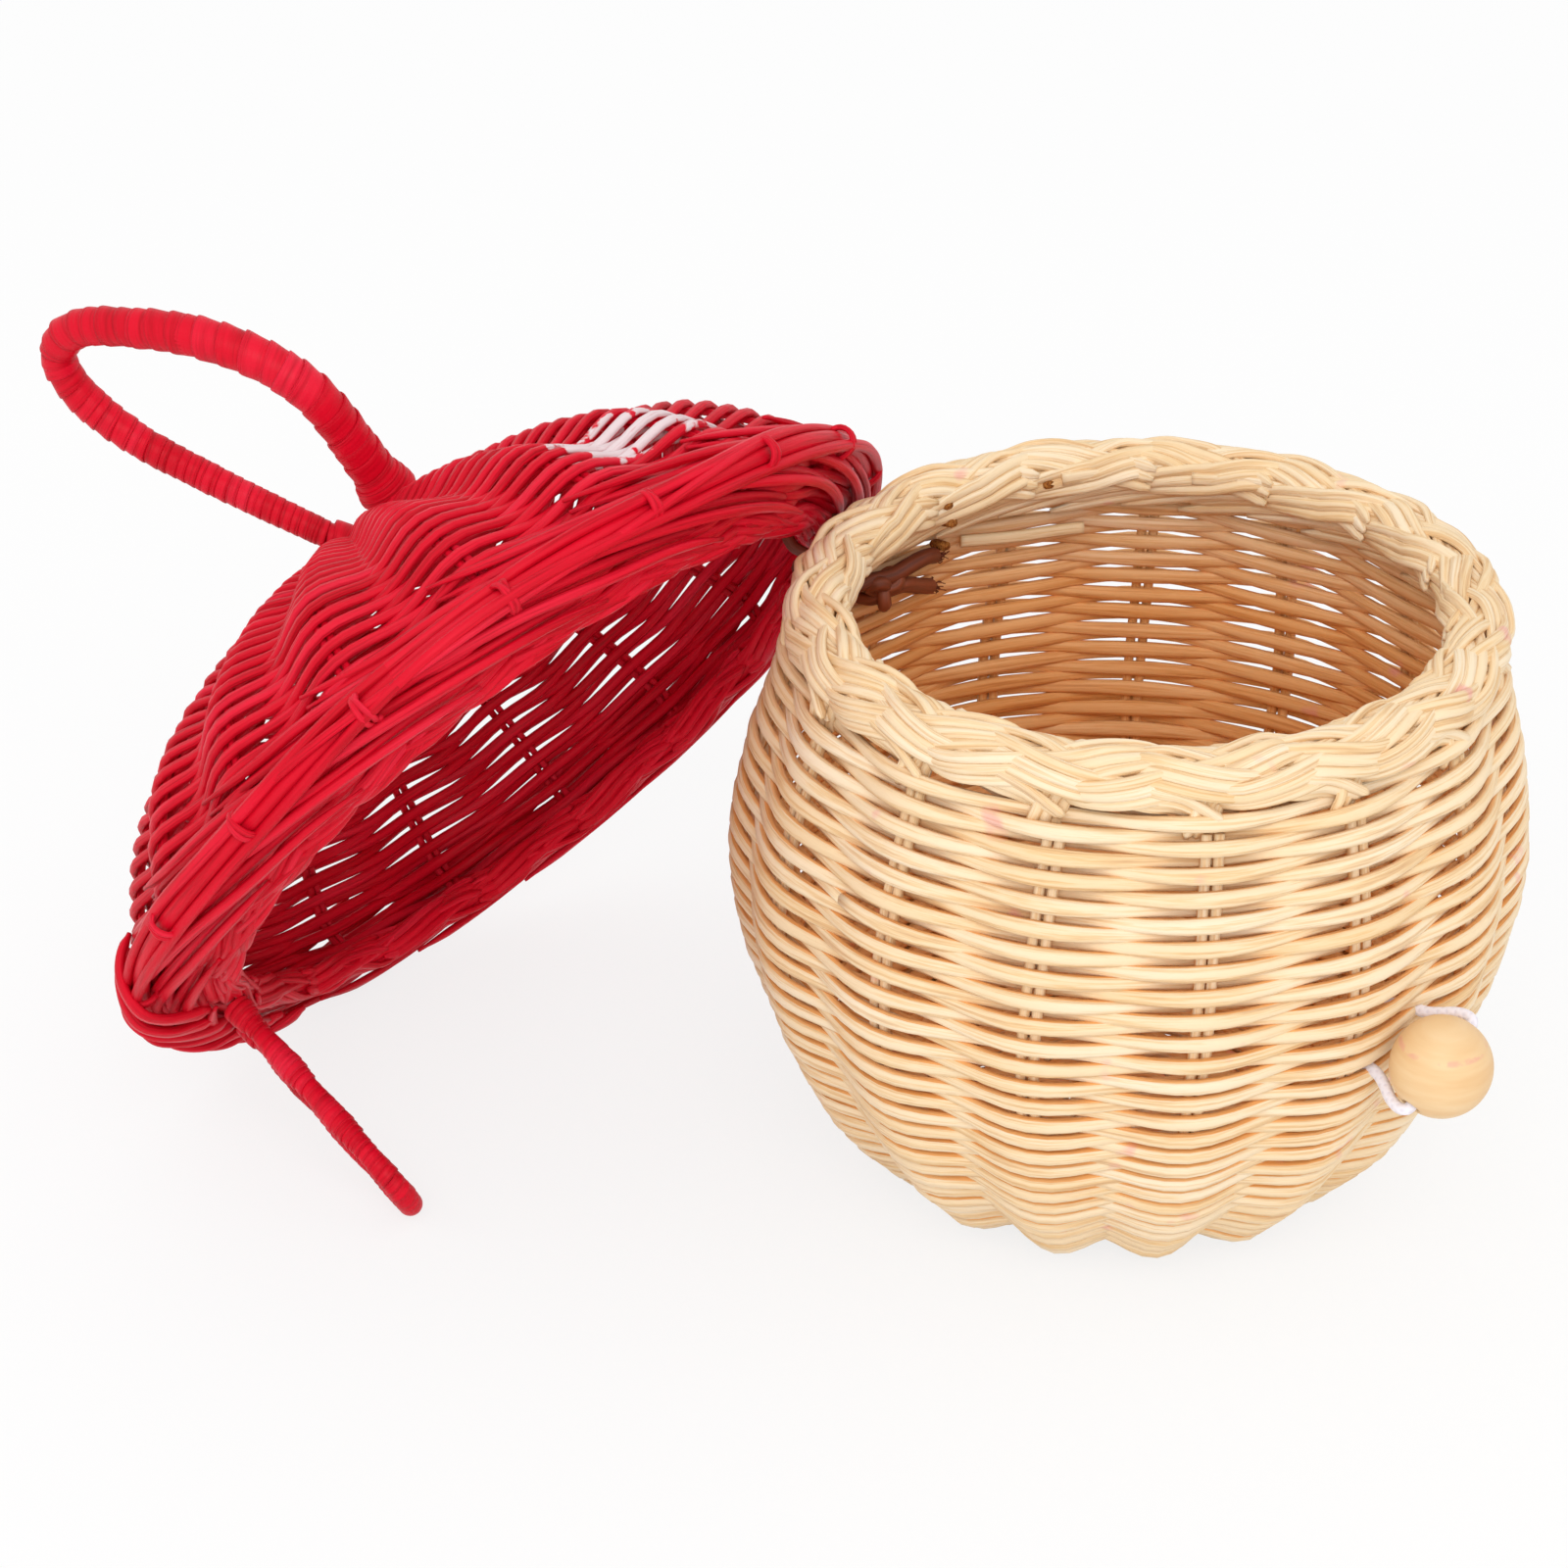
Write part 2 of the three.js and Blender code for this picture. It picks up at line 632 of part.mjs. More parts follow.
function addClosingLoop() {
  const halfSpacing = tabLegSpacing / 2;
  const straight = tabLength - halfSpacing;
  const rootRise = halfSpacing * Math.tan(toRadians(tabLeanSide));
  const hairpin = [
    [-halfSpacing, rootRise], [-halfSpacing, -straight / 3], [-halfSpacing, -2 * straight / 3],
    [-halfSpacing, -straight],
    [-halfSpacing * Math.SQRT1_2, -straight - halfSpacing * Math.SQRT1_2], [0, -tabLength],
    [halfSpacing * Math.SQRT1_2, -straight - halfSpacing * Math.SQRT1_2],
    [halfSpacing, -straight], [halfSpacing, -2 * straight / 3], [halfSpacing, -straight / 3],
    [halfSpacing, -rootRise],
  ];
  const rootHeight = -openingDrop - lidBorderThickness / 2 - fitGap - tabCoreRadius / 2;
  const placing = new THREE.Matrix4()
    .makeTranslation(0, -tabRootRadius, rootHeight)
    .multiply(new THREE.Matrix4().makeRotationX(toRadians(tabLeanIn)))
    .multiply(new THREE.Matrix4().makeRotationY(-toRadians(tabLeanSide)))
    .multiply(new THREE.Matrix4().makeRotationZ(toRadians(tabTwist)));
  const points = hairpin.map(([across, down]) => new THREE.Vector3(across, 0, down));
  const core = sweep(disc(tabCoreRadius, 6), points, tabSteps).applyMatrix4(placing);
  addPiece(lid, "tab_core", core, redCane);
  const bound = innerStretch(new THREE.CatmullRomCurve3(points), tabBareEnd, tabSteps);
  const wrap = collar(tabCoreRadius + cordGap, tabBindingRadius, 8);
  const binding = sweep(wrap, bound, tabSteps).applyMatrix4(placing);
  addPiece(lid, "tab_binding", binding, redCane);
  [-1, 1].forEach((side) => {
    const lash = new THREE.TorusGeometry(tabCoreRadius + fitGap + tabLashRadius, tabLashRadius, 6, 8)
      .translate(side * halfSpacing, 0, tabLashRadius + fitGap - tabBareEnd - side * rootRise)
      .applyMatrix4(placing);
    addPiece(lid, side < 0 ? "tab_root_lashing_left" : "tab_root_lashing_right", lash, redCane);
  });
}

// The brown cord that hinges the lid, its knot inside the wall, and a shorter cord lower down

function addTies() {
  const neckStart = new THREE.Vector3(0, neckRadius, wallTopHeight);
  addPiece(part, "hinge_tie", sweep(disc(tieRadius, 6), routeFrom(neckStart, hingeTieRoute), 52), brownCord);
  const seat = turnPoint.clone().addScaledVector(turnAxis, -tieKnotInset);
  const knot = new THREE.SphereGeometry(tieKnotRadius, 10, 8).translate(seat.x, seat.y, seat.z);
  addPiece(part, "tie_knot", knot, brownCord);
  const bellyStart = new THREE.Vector3(0, bellyRadius, wallTopHeight);
  const looseRoute = routeFrom(bellyStart, looseTieRoute);
  addPiece(part, "loose_tie", sweep(disc(tieRadius, 6), looseRoute, 12), brownCord);
}

addPotBase();
addPotWall();
addPotBorder();
addPotStakes();
addBall();
addElastic();
addTies();
addDome();
addFlange();
addLidBorder();
addHoop();
addLashings();
addRibs();
addCarryingLoop();
addClosingLoop();

export default part;
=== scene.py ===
import math
import bpy
import numpy as np
from mathutils import Matrix, Vector


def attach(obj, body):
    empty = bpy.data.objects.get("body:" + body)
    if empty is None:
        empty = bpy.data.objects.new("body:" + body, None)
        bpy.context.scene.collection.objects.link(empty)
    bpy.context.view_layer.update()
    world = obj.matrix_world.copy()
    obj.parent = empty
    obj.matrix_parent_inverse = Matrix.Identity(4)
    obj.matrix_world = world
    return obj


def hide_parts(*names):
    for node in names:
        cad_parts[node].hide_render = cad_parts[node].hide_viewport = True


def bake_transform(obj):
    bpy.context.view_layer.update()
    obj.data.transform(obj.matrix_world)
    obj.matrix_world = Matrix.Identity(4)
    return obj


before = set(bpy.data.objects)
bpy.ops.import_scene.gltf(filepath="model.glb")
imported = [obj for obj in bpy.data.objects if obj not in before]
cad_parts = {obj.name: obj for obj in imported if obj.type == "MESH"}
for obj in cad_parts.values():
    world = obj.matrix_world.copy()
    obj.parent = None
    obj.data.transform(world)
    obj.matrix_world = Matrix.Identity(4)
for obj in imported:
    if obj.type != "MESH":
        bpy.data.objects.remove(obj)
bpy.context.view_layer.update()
draws = np.random.default_rng(7)  # every small irregularity comes from this one seeded source
fullTurn = 2 * math.pi
up = np.array([0.0, 0.0, 1.0])


# Helpers: lengths are in millimetres until a mesh is made

def dropSelection():
    for item in list(bpy.context.selected_objects):
        item.select_set(False)


def walked(points):
    # how far along a line each of its points lies
    return np.r_[0, np.cumsum(np.linalg.norm(np.diff(points, axis=0), axis=1))]


def sampled(table, lengths, at):
    # the rows of a table at these distances along it
    return np.stack([np.interp(at, lengths, column) for column in table.T], 1)


def smoothLine(points, count):
    # a smooth line through the points, evenly divided
    points = np.array(points, float)
    padded = np.vstack([2 * points[0] - points[1], points, 2 * points[-1] - points[-2]])
    where = np.linspace(0, len(points) - 1, count)
    cell = np.minimum(where.astype(int), len(points) - 2)
    t = (where - cell)[:, None]
    a, b, c, d = (padded[cell + k] for k in range(4))
    bend, twist = 2 * a - 5 * b + 4 * c - d, 3 * b - a - 3 * c + d
    line = 0.5 * (2 * b + (c - a) * t + bend * t ** 2 + twist * t ** 3)
    lengths = walked(line)
    return sampled(line, lengths, np.linspace(0, lengths[-1], count))


def unit(vectors):
    return vectors / np.maximum(np.linalg.norm(vectors, axis=-1, keepdims=True), 1e-9)


def squareTo(directions, hints):
    # the part of each hint that stands square to its direction
    return unit(hints - directions * np.sum(directions * hints, axis=1, keepdims=True))


def carried(directions, first):
    # a normal carried along a line without twisting about it
    normals = np.zeros_like(directions)
    current = np.array(first, float)
    for index, direction in enumerate(directions):
        current = current - direction * np.dot(current, direction)
        current = current / np.linalg.norm(current)
        normals[index] = current
    return normals


def around(radius, azimuth, height):
    return np.stack(np.broadcast_arrays(radius * np.cos(azimuth), radius * np.sin(azimuth), height), -1)


def spreadOver(values, count):
    return np.interp(np.linspace(0, 1, count), np.linspace(0, 1, len(values)), values)


def wander(count, size):
    # a slow random drift along a cane
    return spreadOver(draws.normal(0, size, max(count // 7, 3)), count)


def layStrand(points, facing, width, thick, sides=8, boxy=0.8, closed=False, taper=0):
    # a bent cane of oblong section: facing is the way its flat side looks, taper the points of each thin end
    points = np.array(points, float)
    directions = unit(np.gradient(points, axis=0))
    if closed:
        directions = unit(np.roll(points, -1, axis=0) - np.roll(points, 1, axis=0))
    facing = squareTo(directions, np.broadcast_to(np.array(facing, float), points.shape))
    across = np.cross(facing, directions)
    turn = np.arange(sides) / sides * fullTurn + math.pi / sides
    flat = np.sign(np.cos(turn)) * np.abs(np.cos(turn)) ** boxy
    deep = np.sign(np.sin(turn)) * np.abs(np.sin(turn)) ** boxy
    width = np.broadcast_to(np.asarray(width, float), len(points))
    thick = np.broadcast_to(np.asarray(thick, float), len(points))
    if taper:
        ends = np.minimum(np.arange(len(points)), np.arange(len(points))[::-1]) / taper
        shrink = np.sqrt(np.clip(ends, 0.25, 1))
        width, thick = width * shrink, thick * shrink
    rings = (points[:, None] + across[:, None] * (flat[None, :, None] * width[:, None, None] / 2)
             + facing[:, None] * (deep[None, :, None] * thick[:, None, None] / 2))
    return {"rings": rings, "lengths": walked(points), "closed": closed}


def layCord(path, radii, firstNormal, sides=10, **ends):
    # a round cord or core whose radius changes along it
    radius = spreadOver(radii, len(path))
    facing = carried(unit(np.gradient(path, axis=0)), firstNormal)
    return layStrand(path, facing, 2 * radius, 2 * radius, sides=sides, boxy=1, **ends)


def makeStrands(name, strands, place=None):
    # one mesh of closed strands, with a map called grain: U along the strand in metres, V once round it
    vertices, faces, uvs = [], [], []
    start = 0
    for strand in strands:
        rings, lengths = strand["rings"], strand["lengths"] / 1000
        count, sides = rings.shape[:2]
        vertices.append(rings.reshape(-1, 3))
        rows = np.arange(count if strand["closed"] else count - 1)[:, None]
        columns = np.arange(sides)[None, :]
        nextRows, nextColumns = (rows + 1) % count, (columns + 1) % sides
        quads = np.stack([rows * sides + columns, rows * sides + nextColumns,
                          nextRows * sides + nextColumns, nextRows * sides + columns], -1).reshape(-1, 4)
        faces.extend((quads + start).tolist())
        shift = draws.uniform(0, 3)  # no two canes show the same grain
        low = np.broadcast_to(lengths[rows[:, 0]][:, None], (len(rows), sides)) + shift
        reach = np.append(lengths[1:], lengths[-1] + lengths[-1] / count)
        high = np.broadcast_to(reach[rows[:, 0]][:, None], (len(rows), sides)) + shift
        left = np.broadcast_to(columns / sides, low.shape)
        right = left + 1 / sides
        uvs.append(np.stack([np.stack([low, left], -1), np.stack([low, right], -1),
                             np.stack([high, right], -1), np.stack([high, left], -1)], 2).reshape(-1, 2))
        if not strand["closed"]:
            faces.append((start + np.arange(sides)[::-1]).tolist())
            faces.append((start + (count - 1) * sides + np.arange(sides)).tolist())
            uvs.append(np.tile([[shift, 0.5]], (2 * sides, 1)))
        start += count * sides
    points = np.vstack(vertices)
    if place is not None:
        points = place(points)
    mesh = bpy.data.meshes.new(name)
    mesh.from_pydata((points / 1000).tolist(), [], faces)
    mesh.uv_layers.new(name="grain").data.foreach_set("uv", np.vstack(uvs).astype(np.float32).ravel())
    mesh.polygons.foreach_set("use_smooth", np.ones(len(faces), bool))
    mesh.update()
    piece = bpy.data.objects.new(name, mesh)
    bpy.context.collection.objects.link(piece)
    return piece


def finish(piece, body, dress, *nodes):
    # dress is a material and its slot, and the slot is not used; a piece without a body is left unattached
    material, slot = dress
    piece.data.materials.append(material)
    if body:
        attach(piece, body)
    if nodes:
        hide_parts(*nodes)
    return piece


def addPiece(name, strands, body, dress, *nodes):
    onItsLid = body in ("lid", "carrying_loop", "closing_loop")
    return finish(makeStrands(name, strands, onLid if onItsLid else None), body, dress, *nodes)


# Camera at the photograph's viewpoint, in metres

cameraView = {"place": (-0.5903, -0.5391, 0.543), "look": (0.590, 0.633, -0.5015), "lens": 112.5}
cameraData = bpy.data.cameras.new("camera")
cameraData.lens = cameraView["lens"]
cameraData.sensor_width = 36
cameraData.clip_start = 0.01
camera = bpy.data.objects.new("camera", cameraData)
camera.location = cameraView["place"]
camera.rotation_euler = Vector(cameraView["look"]).to_track_quat("-Z", "Y").to_euler()
bpy.context.collection.objects.link(camera)
bpy.context.scene.camera = camera


# Materials: lengths in metres, and a pattern's scale is how many of its marks lie along a metre

def linear(hexCode):
    parts = [int(hexCode[k:k + 2], 16) / 255 for k in (1, 3, 5)]
    return (*[p / 12.92 if p <= 0.04045 else ((p + 0.055) / 1.055) ** 2.4 for p in parts], 1.0)


def plug(tree, node, values):
    # values are linked or set, and a node stands for its first output
    for socket, value in values.items():
        if isinstance(value, bpy.types.Node):
            value = value.outputs[0]
        if isinstance(value, bpy.types.NodeSocket):
            tree.links.new(value, node.inputs[socket])
        else:
            node.inputs[socket].default_value = value


def addNode(tree, kind, values, stops=(), **settings):
    # a stop's colour may be a plain level
    node = tree.nodes.new("ShaderNode" + kind)
    for key, value in settings.items():
        setattr(node, key, value)
    plug(tree, node, values)
    for _ in stops[2:]:
        node.color_ramp.elements.new(0.5)
    for index, (place, colour) in enumerate(stops):
        element = node.color_ramp.elements[index]
        element.position = place
        element.color = linear(colour) if isinstance(colour, str) else (colour, colour, colour, 1)
    return node


def startMaterial(name, roughness, shine):
    material = bpy.data.materials.new(name)
    material.use_nodes = True
    tree = material.node_tree
    shader = tree.nodes["Principled BSDF"]
    plug(tree, shader, {"Roughness": roughness, "Specular IOR Level": shine})
    return material, tree, shader


# Fibres about 29 mm long and blotches about 71 mm long, drawn coarser across than the real hair-fine ones
grain = {"fibres": 35, "blotches": 14, "blotchesAround": 0.6, "depth": 0.0004}


def addGrain(tree, shader, look, fibresAround):
    grainMap = addNode(tree, "UVMap", {}, uv_map="grain")
    long = addNode(tree, "Mapping", {"Vector": grainMap, "Scale": (grain["fibres"], fibresAround, 1)})
    fibres = addNode(tree, "TexNoise", {"Vector": long, "Scale": 1, "Detail": 4, "Roughness": 0.65})
    bump = addNode(tree, "Bump", {"Height": fibres, "Strength": 0.8, "Distance": grain["depth"]})
    plug(tree, shader, {"Normal": bump})
    blotchScale = (grain["blotches"], grain["blotchesAround"], 1)
    slow = addNode(tree, "Mapping", {"Vector": grainMap, "Scale": blotchScale})
    blotches = addNode(tree, "TexNoise", {"Vector": slow, "Scale": 1, "Detail": 2})
    tone = addNode(tree, "ValToRGB", {"Fac": blotches}, look["tones"])
    streak = addNode(tree, "ValToRGB", {"Fac": fibres}, look["streaks"])
    colour = addNode(tree, "Mix", {0: look["streakShare"], 6: tone, 7: streak}, data_type="RGBA",
                     blend_type="MULTIPLY")
    apart = addNode(tree, "SeparateXYZ", {"Vector": grainMap})
    return colour.outputs[2], fibres, apart.outputs["Y"]


# Peeled rattan core, bare: pale straw with long fibres; deep inside the pot, the inner face is painted with a
# warm orange shade that stands in for light bounced among the canes
natural = {
    "tones": [(0.3, "#F1D1A2"), (0.5, "#F6DDB7"), (0.72, "#FAE8CC")],
    "streaks": [(0.32, "#C8924F"), (0.44, "#F0D9B0"), (0.52, "#FFFFFF")], "streakShare": 0.55,
    "fibresAround": 9, "paintedShadeTone": "#FFC67C", "paintedShadeTop": 0.112, "paintedShadeFullBelow": 0.086, "paintedShadeLeast": 0.25,
    "rubbedTone": "#EE8F9C", "rubbedShare": 0.45, "rubs": 95,
}


def makeNaturalCane(name, paintedShadeStrength):
    material, tree, shader = startMaterial(name, 0.55, 0.3)
    base, _, side = addGrain(tree, shader, natural, natural["fibresAround"])
    where = addNode(tree, "TexCoord", {}).outputs["Object"]
    apart = addNode(tree, "SeparateXYZ", {"Vector": where})
    # painted shade: the inner face of each strand is multiplied towards warm orange, more strongly lower in
    # the pot, in place of the shade and bounced light inside it
    deep = addNode(tree, "MapRange", {
        "Value": apart.outputs["Z"], "From Min": natural["paintedShadeTop"], "From Max": natural["paintedShadeFullBelow"],
        "To Min": paintedShadeStrength * natural["paintedShadeLeast"], "To Max": paintedShadeStrength})
    isInner = addNode(tree, "Math", {0: side, 1: 0.5}, operation="GREATER_THAN")
    paintedShadeAmount = addNode(tree, "Math", {0: isInner, 1: deep}, operation="MULTIPLY")
    base = addNode(tree, "Mix", {0: paintedShadeAmount, 6: base, 7: linear(natural["paintedShadeTone"])},
                   data_type="RGBA", blend_type="MULTIPLY").outputs[2]
    # dye from the red lid has rubbed off on a few strands
    rub = addNode(tree, "TexNoise", {"Vector": where, "Scale": natural["rubs"], "Detail": 2})
    spots = addNode(tree, "ValToRGB", {"Fac": rub}, [(0.69, 0), (0.76, natural["rubbedShare"])])
    rubbed = addNode(tree, "Mix", {0: spots, 6: base, 7: linear(natural["rubbedTone"])}, data_type="RGBA")
    plug(tree, shader, {"Base Color": rubbed.outputs[2]})
    return material


# Sawn cane end stubs: brown all over, with open pores 0.45 mm apart
def makeCutEnd():
    material, tree, shader = startMaterial("sawnRattanEnd", 0.8, 0.2)
    where = addNode(tree, "TexCoord", {}).outputs["Object"]
    pores = addNode(tree, "TexNoise", {"Vector": where, "Scale": 2200, "Detail": 2})
    tone = addNode(tree, "ValToRGB", {"Fac": pores}, [(0.35, "#7A4217"), (0.65, "#B87838")])
    plug(tree, shader, {"Base Color": tone})
    return material


# The same core dyed red: deep crimson, slightly uneven where the dye dried, white paint dabbed on it in dots
dyed = {
    "tones": [(0.3, "#CA0620"), (0.52, "#DE0C2A"), (0.75, "#EC2440")],
    "streaks": [(0.32, "#8C0414"), (0.46, "#E8D8D8"), (0.54, "#FFFFFF")], "streakShare": 0.5,
    "coreFibres": 9, "peelFibres": 15, "paint": "#EAD6D8", "ragged": 300, "raggedReach": 0.016,
    "paintFade": 0.0012,
}


def makeRedCane(name, fibresAround, paintSpots=()):
    material, tree, shader = startMaterial(name, 0.42, 0.14)
    colour, fibres, side = addGrain(tree, shader, dyed, fibresAround)
    if paintSpots:
        # the brush leaves the grooves and the inner face red
        where = addNode(tree, "TexCoord", {}).outputs["Object"]
        ragged = addNode(tree, "TexNoise", {"Vector": where, "Scale": dyed["ragged"], "Detail": 4})
        edge = addNode(tree, "Math", {0: ragged, 1: dyed["raggedReach"], 2: -dyed["raggedReach"] / 2},
                       operation="MULTIPLY_ADD")
        ridge = addNode(tree, "ValToRGB", {"Fac": side}, [(0.01, 0), (0.08, 1), (0.43, 1), (0.49, 0)])
        dry = addNode(tree, "ValToRGB", {"Fac": fibres}, [(0.3, 0.5), (0.45, 1)])
        holds = addNode(tree, "Math", {0: ridge, 1: dry}, operation="MULTIPLY")
        for centre, radius in paintSpots:
            away = addNode(tree, "VectorMath", {0: where, 1: centre}, operation="DISTANCE")
            reach = addNode(tree, "Math", {0: away.outputs["Value"], 1: edge}, operation="ADD")
            full = radius - dyed["paintFade"]
            cover = addNode(tree, "MapRange", {"Value": reach, "From Min": radius, "From Max": full})
            thin = addNode(tree, "Math", {0: cover, 1: holds}, operation="MULTIPLY")
            colour = addNode(tree, "Mix", {0: thin, 6: colour, 7: linear(dyed["paint"])},
                             data_type="RGBA").outputs[2]
    plug(tree, shader, {"Base Color": colour})
    return material


# Sanded bare softwood bead: peach, hardly any grain, a thin line of red dye rubbed on above the middle
wood = {
    "tones": [(0.3, "#E6BC88"), (0.55, "#EBC796"), (0.8, "#EFD0A4")], "rings": (60, 60, 420),
    "lean": (0.2, 0.55, 0.1), "rubbedTone": "#E58C8C", "rubbedShare": 0.4, "rubs": 240, "rubbedAbove": 5.4,
}


def makePaleWood():
    material, tree, shader = startMaterial("sandedWood", 0.5, 0.4)
    where = addNode(tree, "TexCoord", {}).outputs["Object"]
    slanted = addNode(tree, "Mapping", {"Vector": where, "Rotation": wood["lean"], "Scale": wood["rings"]})
    rings = addNode(tree, "TexNoise", {"Vector": slanted, "Scale": 1, "Detail": 4})
    tone = addNode(tree, "ValToRGB", {"Fac": rings}, wood["tones"])
    rub = addNode(tree, "TexNoise", {"Vector": where, "Scale": wood["rubs"], "Detail": 3})
    spots = addNode(tree, "ValToRGB", {"Fac": rub}, [(0.5, 0), (0.58, wood["rubbedShare"])])
    apart = addNode(tree, "SeparateXYZ", {"Vector": where})
    lineHeight = (button["height"] + wood["rubbedAbove"]) / 1000
    level = addNode(tree, "Math", {0: apart.outputs["Z"], 1: lineHeight}, operation="SUBTRACT")
    away = addNode(tree, "Math", {0: level}, operation="ABSOLUTE")
    line = addNode(tree, "MapRange", {"Value": away, "From Min": 0.0006, "From Max": 0.0002})
    share = addNode(tree, "Math", {0: spots, 1: line}, operation="MULTIPLY")
    colour = addNode(tree, "Mix", {0: share, 6: tone, 7: linear(wood["rubbedTone"])}, data_type="RGBA")
    bump = addNode(tree, "Bump", {"Height": rings, "Strength": 0.15, "Distance": 0.0002})
    plug(tree, shader, {"Base Color": colour.outputs[2], "Normal": bump})
    return material


# Braided cover of the elastic: white polyester, threads 0.45 mm apart that cross, fuzzy; the gaps between the
# threads are painted in a lilac-grey shade
braid = {"threads": 2200, "around": 12, "tones": [(0.0, "#E4DFEA"), (0.6, "#F1EDF5")]}


def makeElastic():
    material, tree, shader = startMaterial("braidedPolyester", 0.8, 0.2)
    grainMap = addNode(tree, "UVMap", {}, uv_map="grain")
    heights = []
    for slant in (1, -1):
        scale = (braid["threads"], braid["around"] * slant, 1)
        turned = addNode(tree, "Mapping", {"Vector": grainMap, "Scale": scale})
        threads = addNode(tree, "TexWave", {"Vector": turned, "Scale": 0.16, "Distortion": 2.5, "Detail": 2},
                          wave_type="BANDS", bands_direction="DIAGONAL")
        heights.append(threads.outputs["Fac"])
    crossed = addNode(tree, "Math", {0: heights[0], 1: heights[1]}, operation="MAXIMUM")
    bump = addNode(tree, "Bump", {"Height": crossed, "Strength": 0.5, "Distance": 0.00015})
    # painted shade: the colour darkens to lilac grey where the thread pattern dips, in the gaps between the
    # threads
    tone = addNode(tree, "ValToRGB", {"Fac": crossed}, braid["tones"])
    plug(tree, shader, {"Base Color": tone, "Normal": bump})
    return material


# Waxed cotton cord: dark brown, twisted fibres, dull shine
waxed = {"tones": [(0.3, "#652813"), (0.7, "#934827")], "streaks": [(0.3, "#6A6A6A"), (0.55, "#FFFFFF")],
         "streakShare": 0.6, "fibresAround": 7}


def makeBrownCord():
    material, tree, shader = startMaterial("waxedCord", 0.55, 0.5)
    colour, _, _ = addGrain(tree, shader, waxed, waxed["fibresAround"])
    plug(tree, shader, {"Base Color": colour})
    return material


# The pot: one long weaver wound in and out of the stakes from the base to the rim

pot = {
    "outline": [(40.3, 0), (56.7, 17.56), (66.53, 35.12), (72.38, 52.56), (74.78, 70.24), (72.98, 87.68),
                (68.85, 104.99), (67.2, 110.4), (66.4, 113.5)],
    "stakes": 15, "phase": math.pi / 2, "stakeWidth": 2.0, "stakeThick": 1.9, "stakeSpread": 1.12,
    "stakeTop": 110, "drawnTogether": (8, 20, 0.35), "stakeWander": 0.12,
    "strandWidth": 3.2, "strandThick": 2.1, "swing": 1.8, "fill": 1.42, "squeeze": 0.1, "proud": 0.5,
    "jitter": 0.13,
    "pitches": [(0, 2.35), (30, 2.3), (42, 2.15), (62, 2.1), (80, 2.25), (105, 2.26), (160, 2.3)],
    "lobe": [(0, 2.3), (78, 0.3)], "lobeGrows": [(30, 0), (42, 1)], "lobeSide": -1,
    "lowSwell": [(0, 1.25), (28, 1.22), (60, 1)], "cuts": (46, 84),
    "leanSide": 2.05, "leanFront": 1.91, "leanStart": 60, "height": 122.8, "weaveTop": 112.4,
    "baseHeight": 3.65, "floor": [(13, 0), (24, 0), (34, -0.2)],
    "coilReach": 12, "coilStart": 1.2, "coilPitch": 2.3, "coilWidth": 2.25, "coilThick": 2.2,
}


def leaned(points):
    # the mouth of the pot leans a little to one side
    share = np.clip(points[:, 2] - pot["leanStart"], 0, None) / (pot["height"] - pot["leanStart"])
    return points + np.stack([pot["leanSide"] * share, -pot["leanFront"] * share, 0 * share], 1)


def sheetLine(outline, depth, count):
    # the line at a depth inside an outline of (radius, height)
    line = smoothLine(outline, count)
    run = unit(np.gradient(line, axis=0))
    facing = np.stack([run[:, 1], -run[:, 0]], 1)
    return line - depth * facing


def weave(line, look, end=None):
    # winds one strand round the line of (radius, height), over one stake and under the next
    stepsPerStake = 8
    lengths = walked(line)
    pitches = np.interp(lengths, *zip(*look["pitches"]))
    turns = np.r_[0, np.cumsum(np.diff(lengths) / ((pitches[1:] + pitches[:-1]) / 2))]
    last = np.interp(lengths[-1] if end is None else end, lengths, turns)
    count = int(last * look["stakes"] * stepsPerStake)
    passed = np.arange(count) / stepsPerStake
    turn = passed / look["stakes"]
    along = np.interp(turn, turns, lengths)
    run = unit(np.gradient(line, axis=0))
    radius, height = sampled(line, lengths, along).T
    upward, outward = sampled(run * [-1, 1], lengths, along).T
    azimuth = look["phase"] + turn * fullTurn
    swing = look["swing"] * np.cos(math.pi * passed) + wander(count, look["jitter"])
    slip = wander(count, look["jitter"] * 1.3)
    # the wall is drawn in between the stakes, or at them where lobeSide is 1
    depth = np.interp(height, *zip(*look["lobe"])) * np.interp(radius, *zip(*look["lobeGrows"]))
    drawn = depth * (0.5 + 0.5 * look["lobeSide"] * np.cos(fullTurn * passed))
    radius = radius + outward * swing - drawn * outward - upward * slip
    height = height + upward * swing - drawn * upward + outward * slip
    facing = np.stack([outward * np.cos(azimuth), outward * np.sin(azimuth), upward], 1)
    # the cane lies full where it passes a stake and is squeezed where rows cross
    squeeze = 1 - look["squeeze"] + look["squeeze"] * np.cos(fullTurn * passed)
    fullWidth = np.minimum(look["strandWidth"], np.interp(along, lengths, pitches) * look["fill"])
    width = fullWidth * squeeze * (1 + wander(count, 0.03))
    return around(radius, azimuth, height), facing, width


def stakeCane(line, look, azimuth, side):
    # one cane of a pair of stakes, which are drawn together towards the middle
    radius = line[:, 0]
    start, reach, least = look["drawnTogether"]
    spread = side * look["stakeSpread"] * np.clip((radius - start) / reach, least, 1)
    spread = spread + wander(len(radius), look["stakeWander"])
    run = unit(np.gradient(line, axis=0))
    points = around(radius, azimuth + spread / np.maximum(radius, 3), line[:, 1])
    return points, around(run[:, 1], azimuth, -run[:, 0])


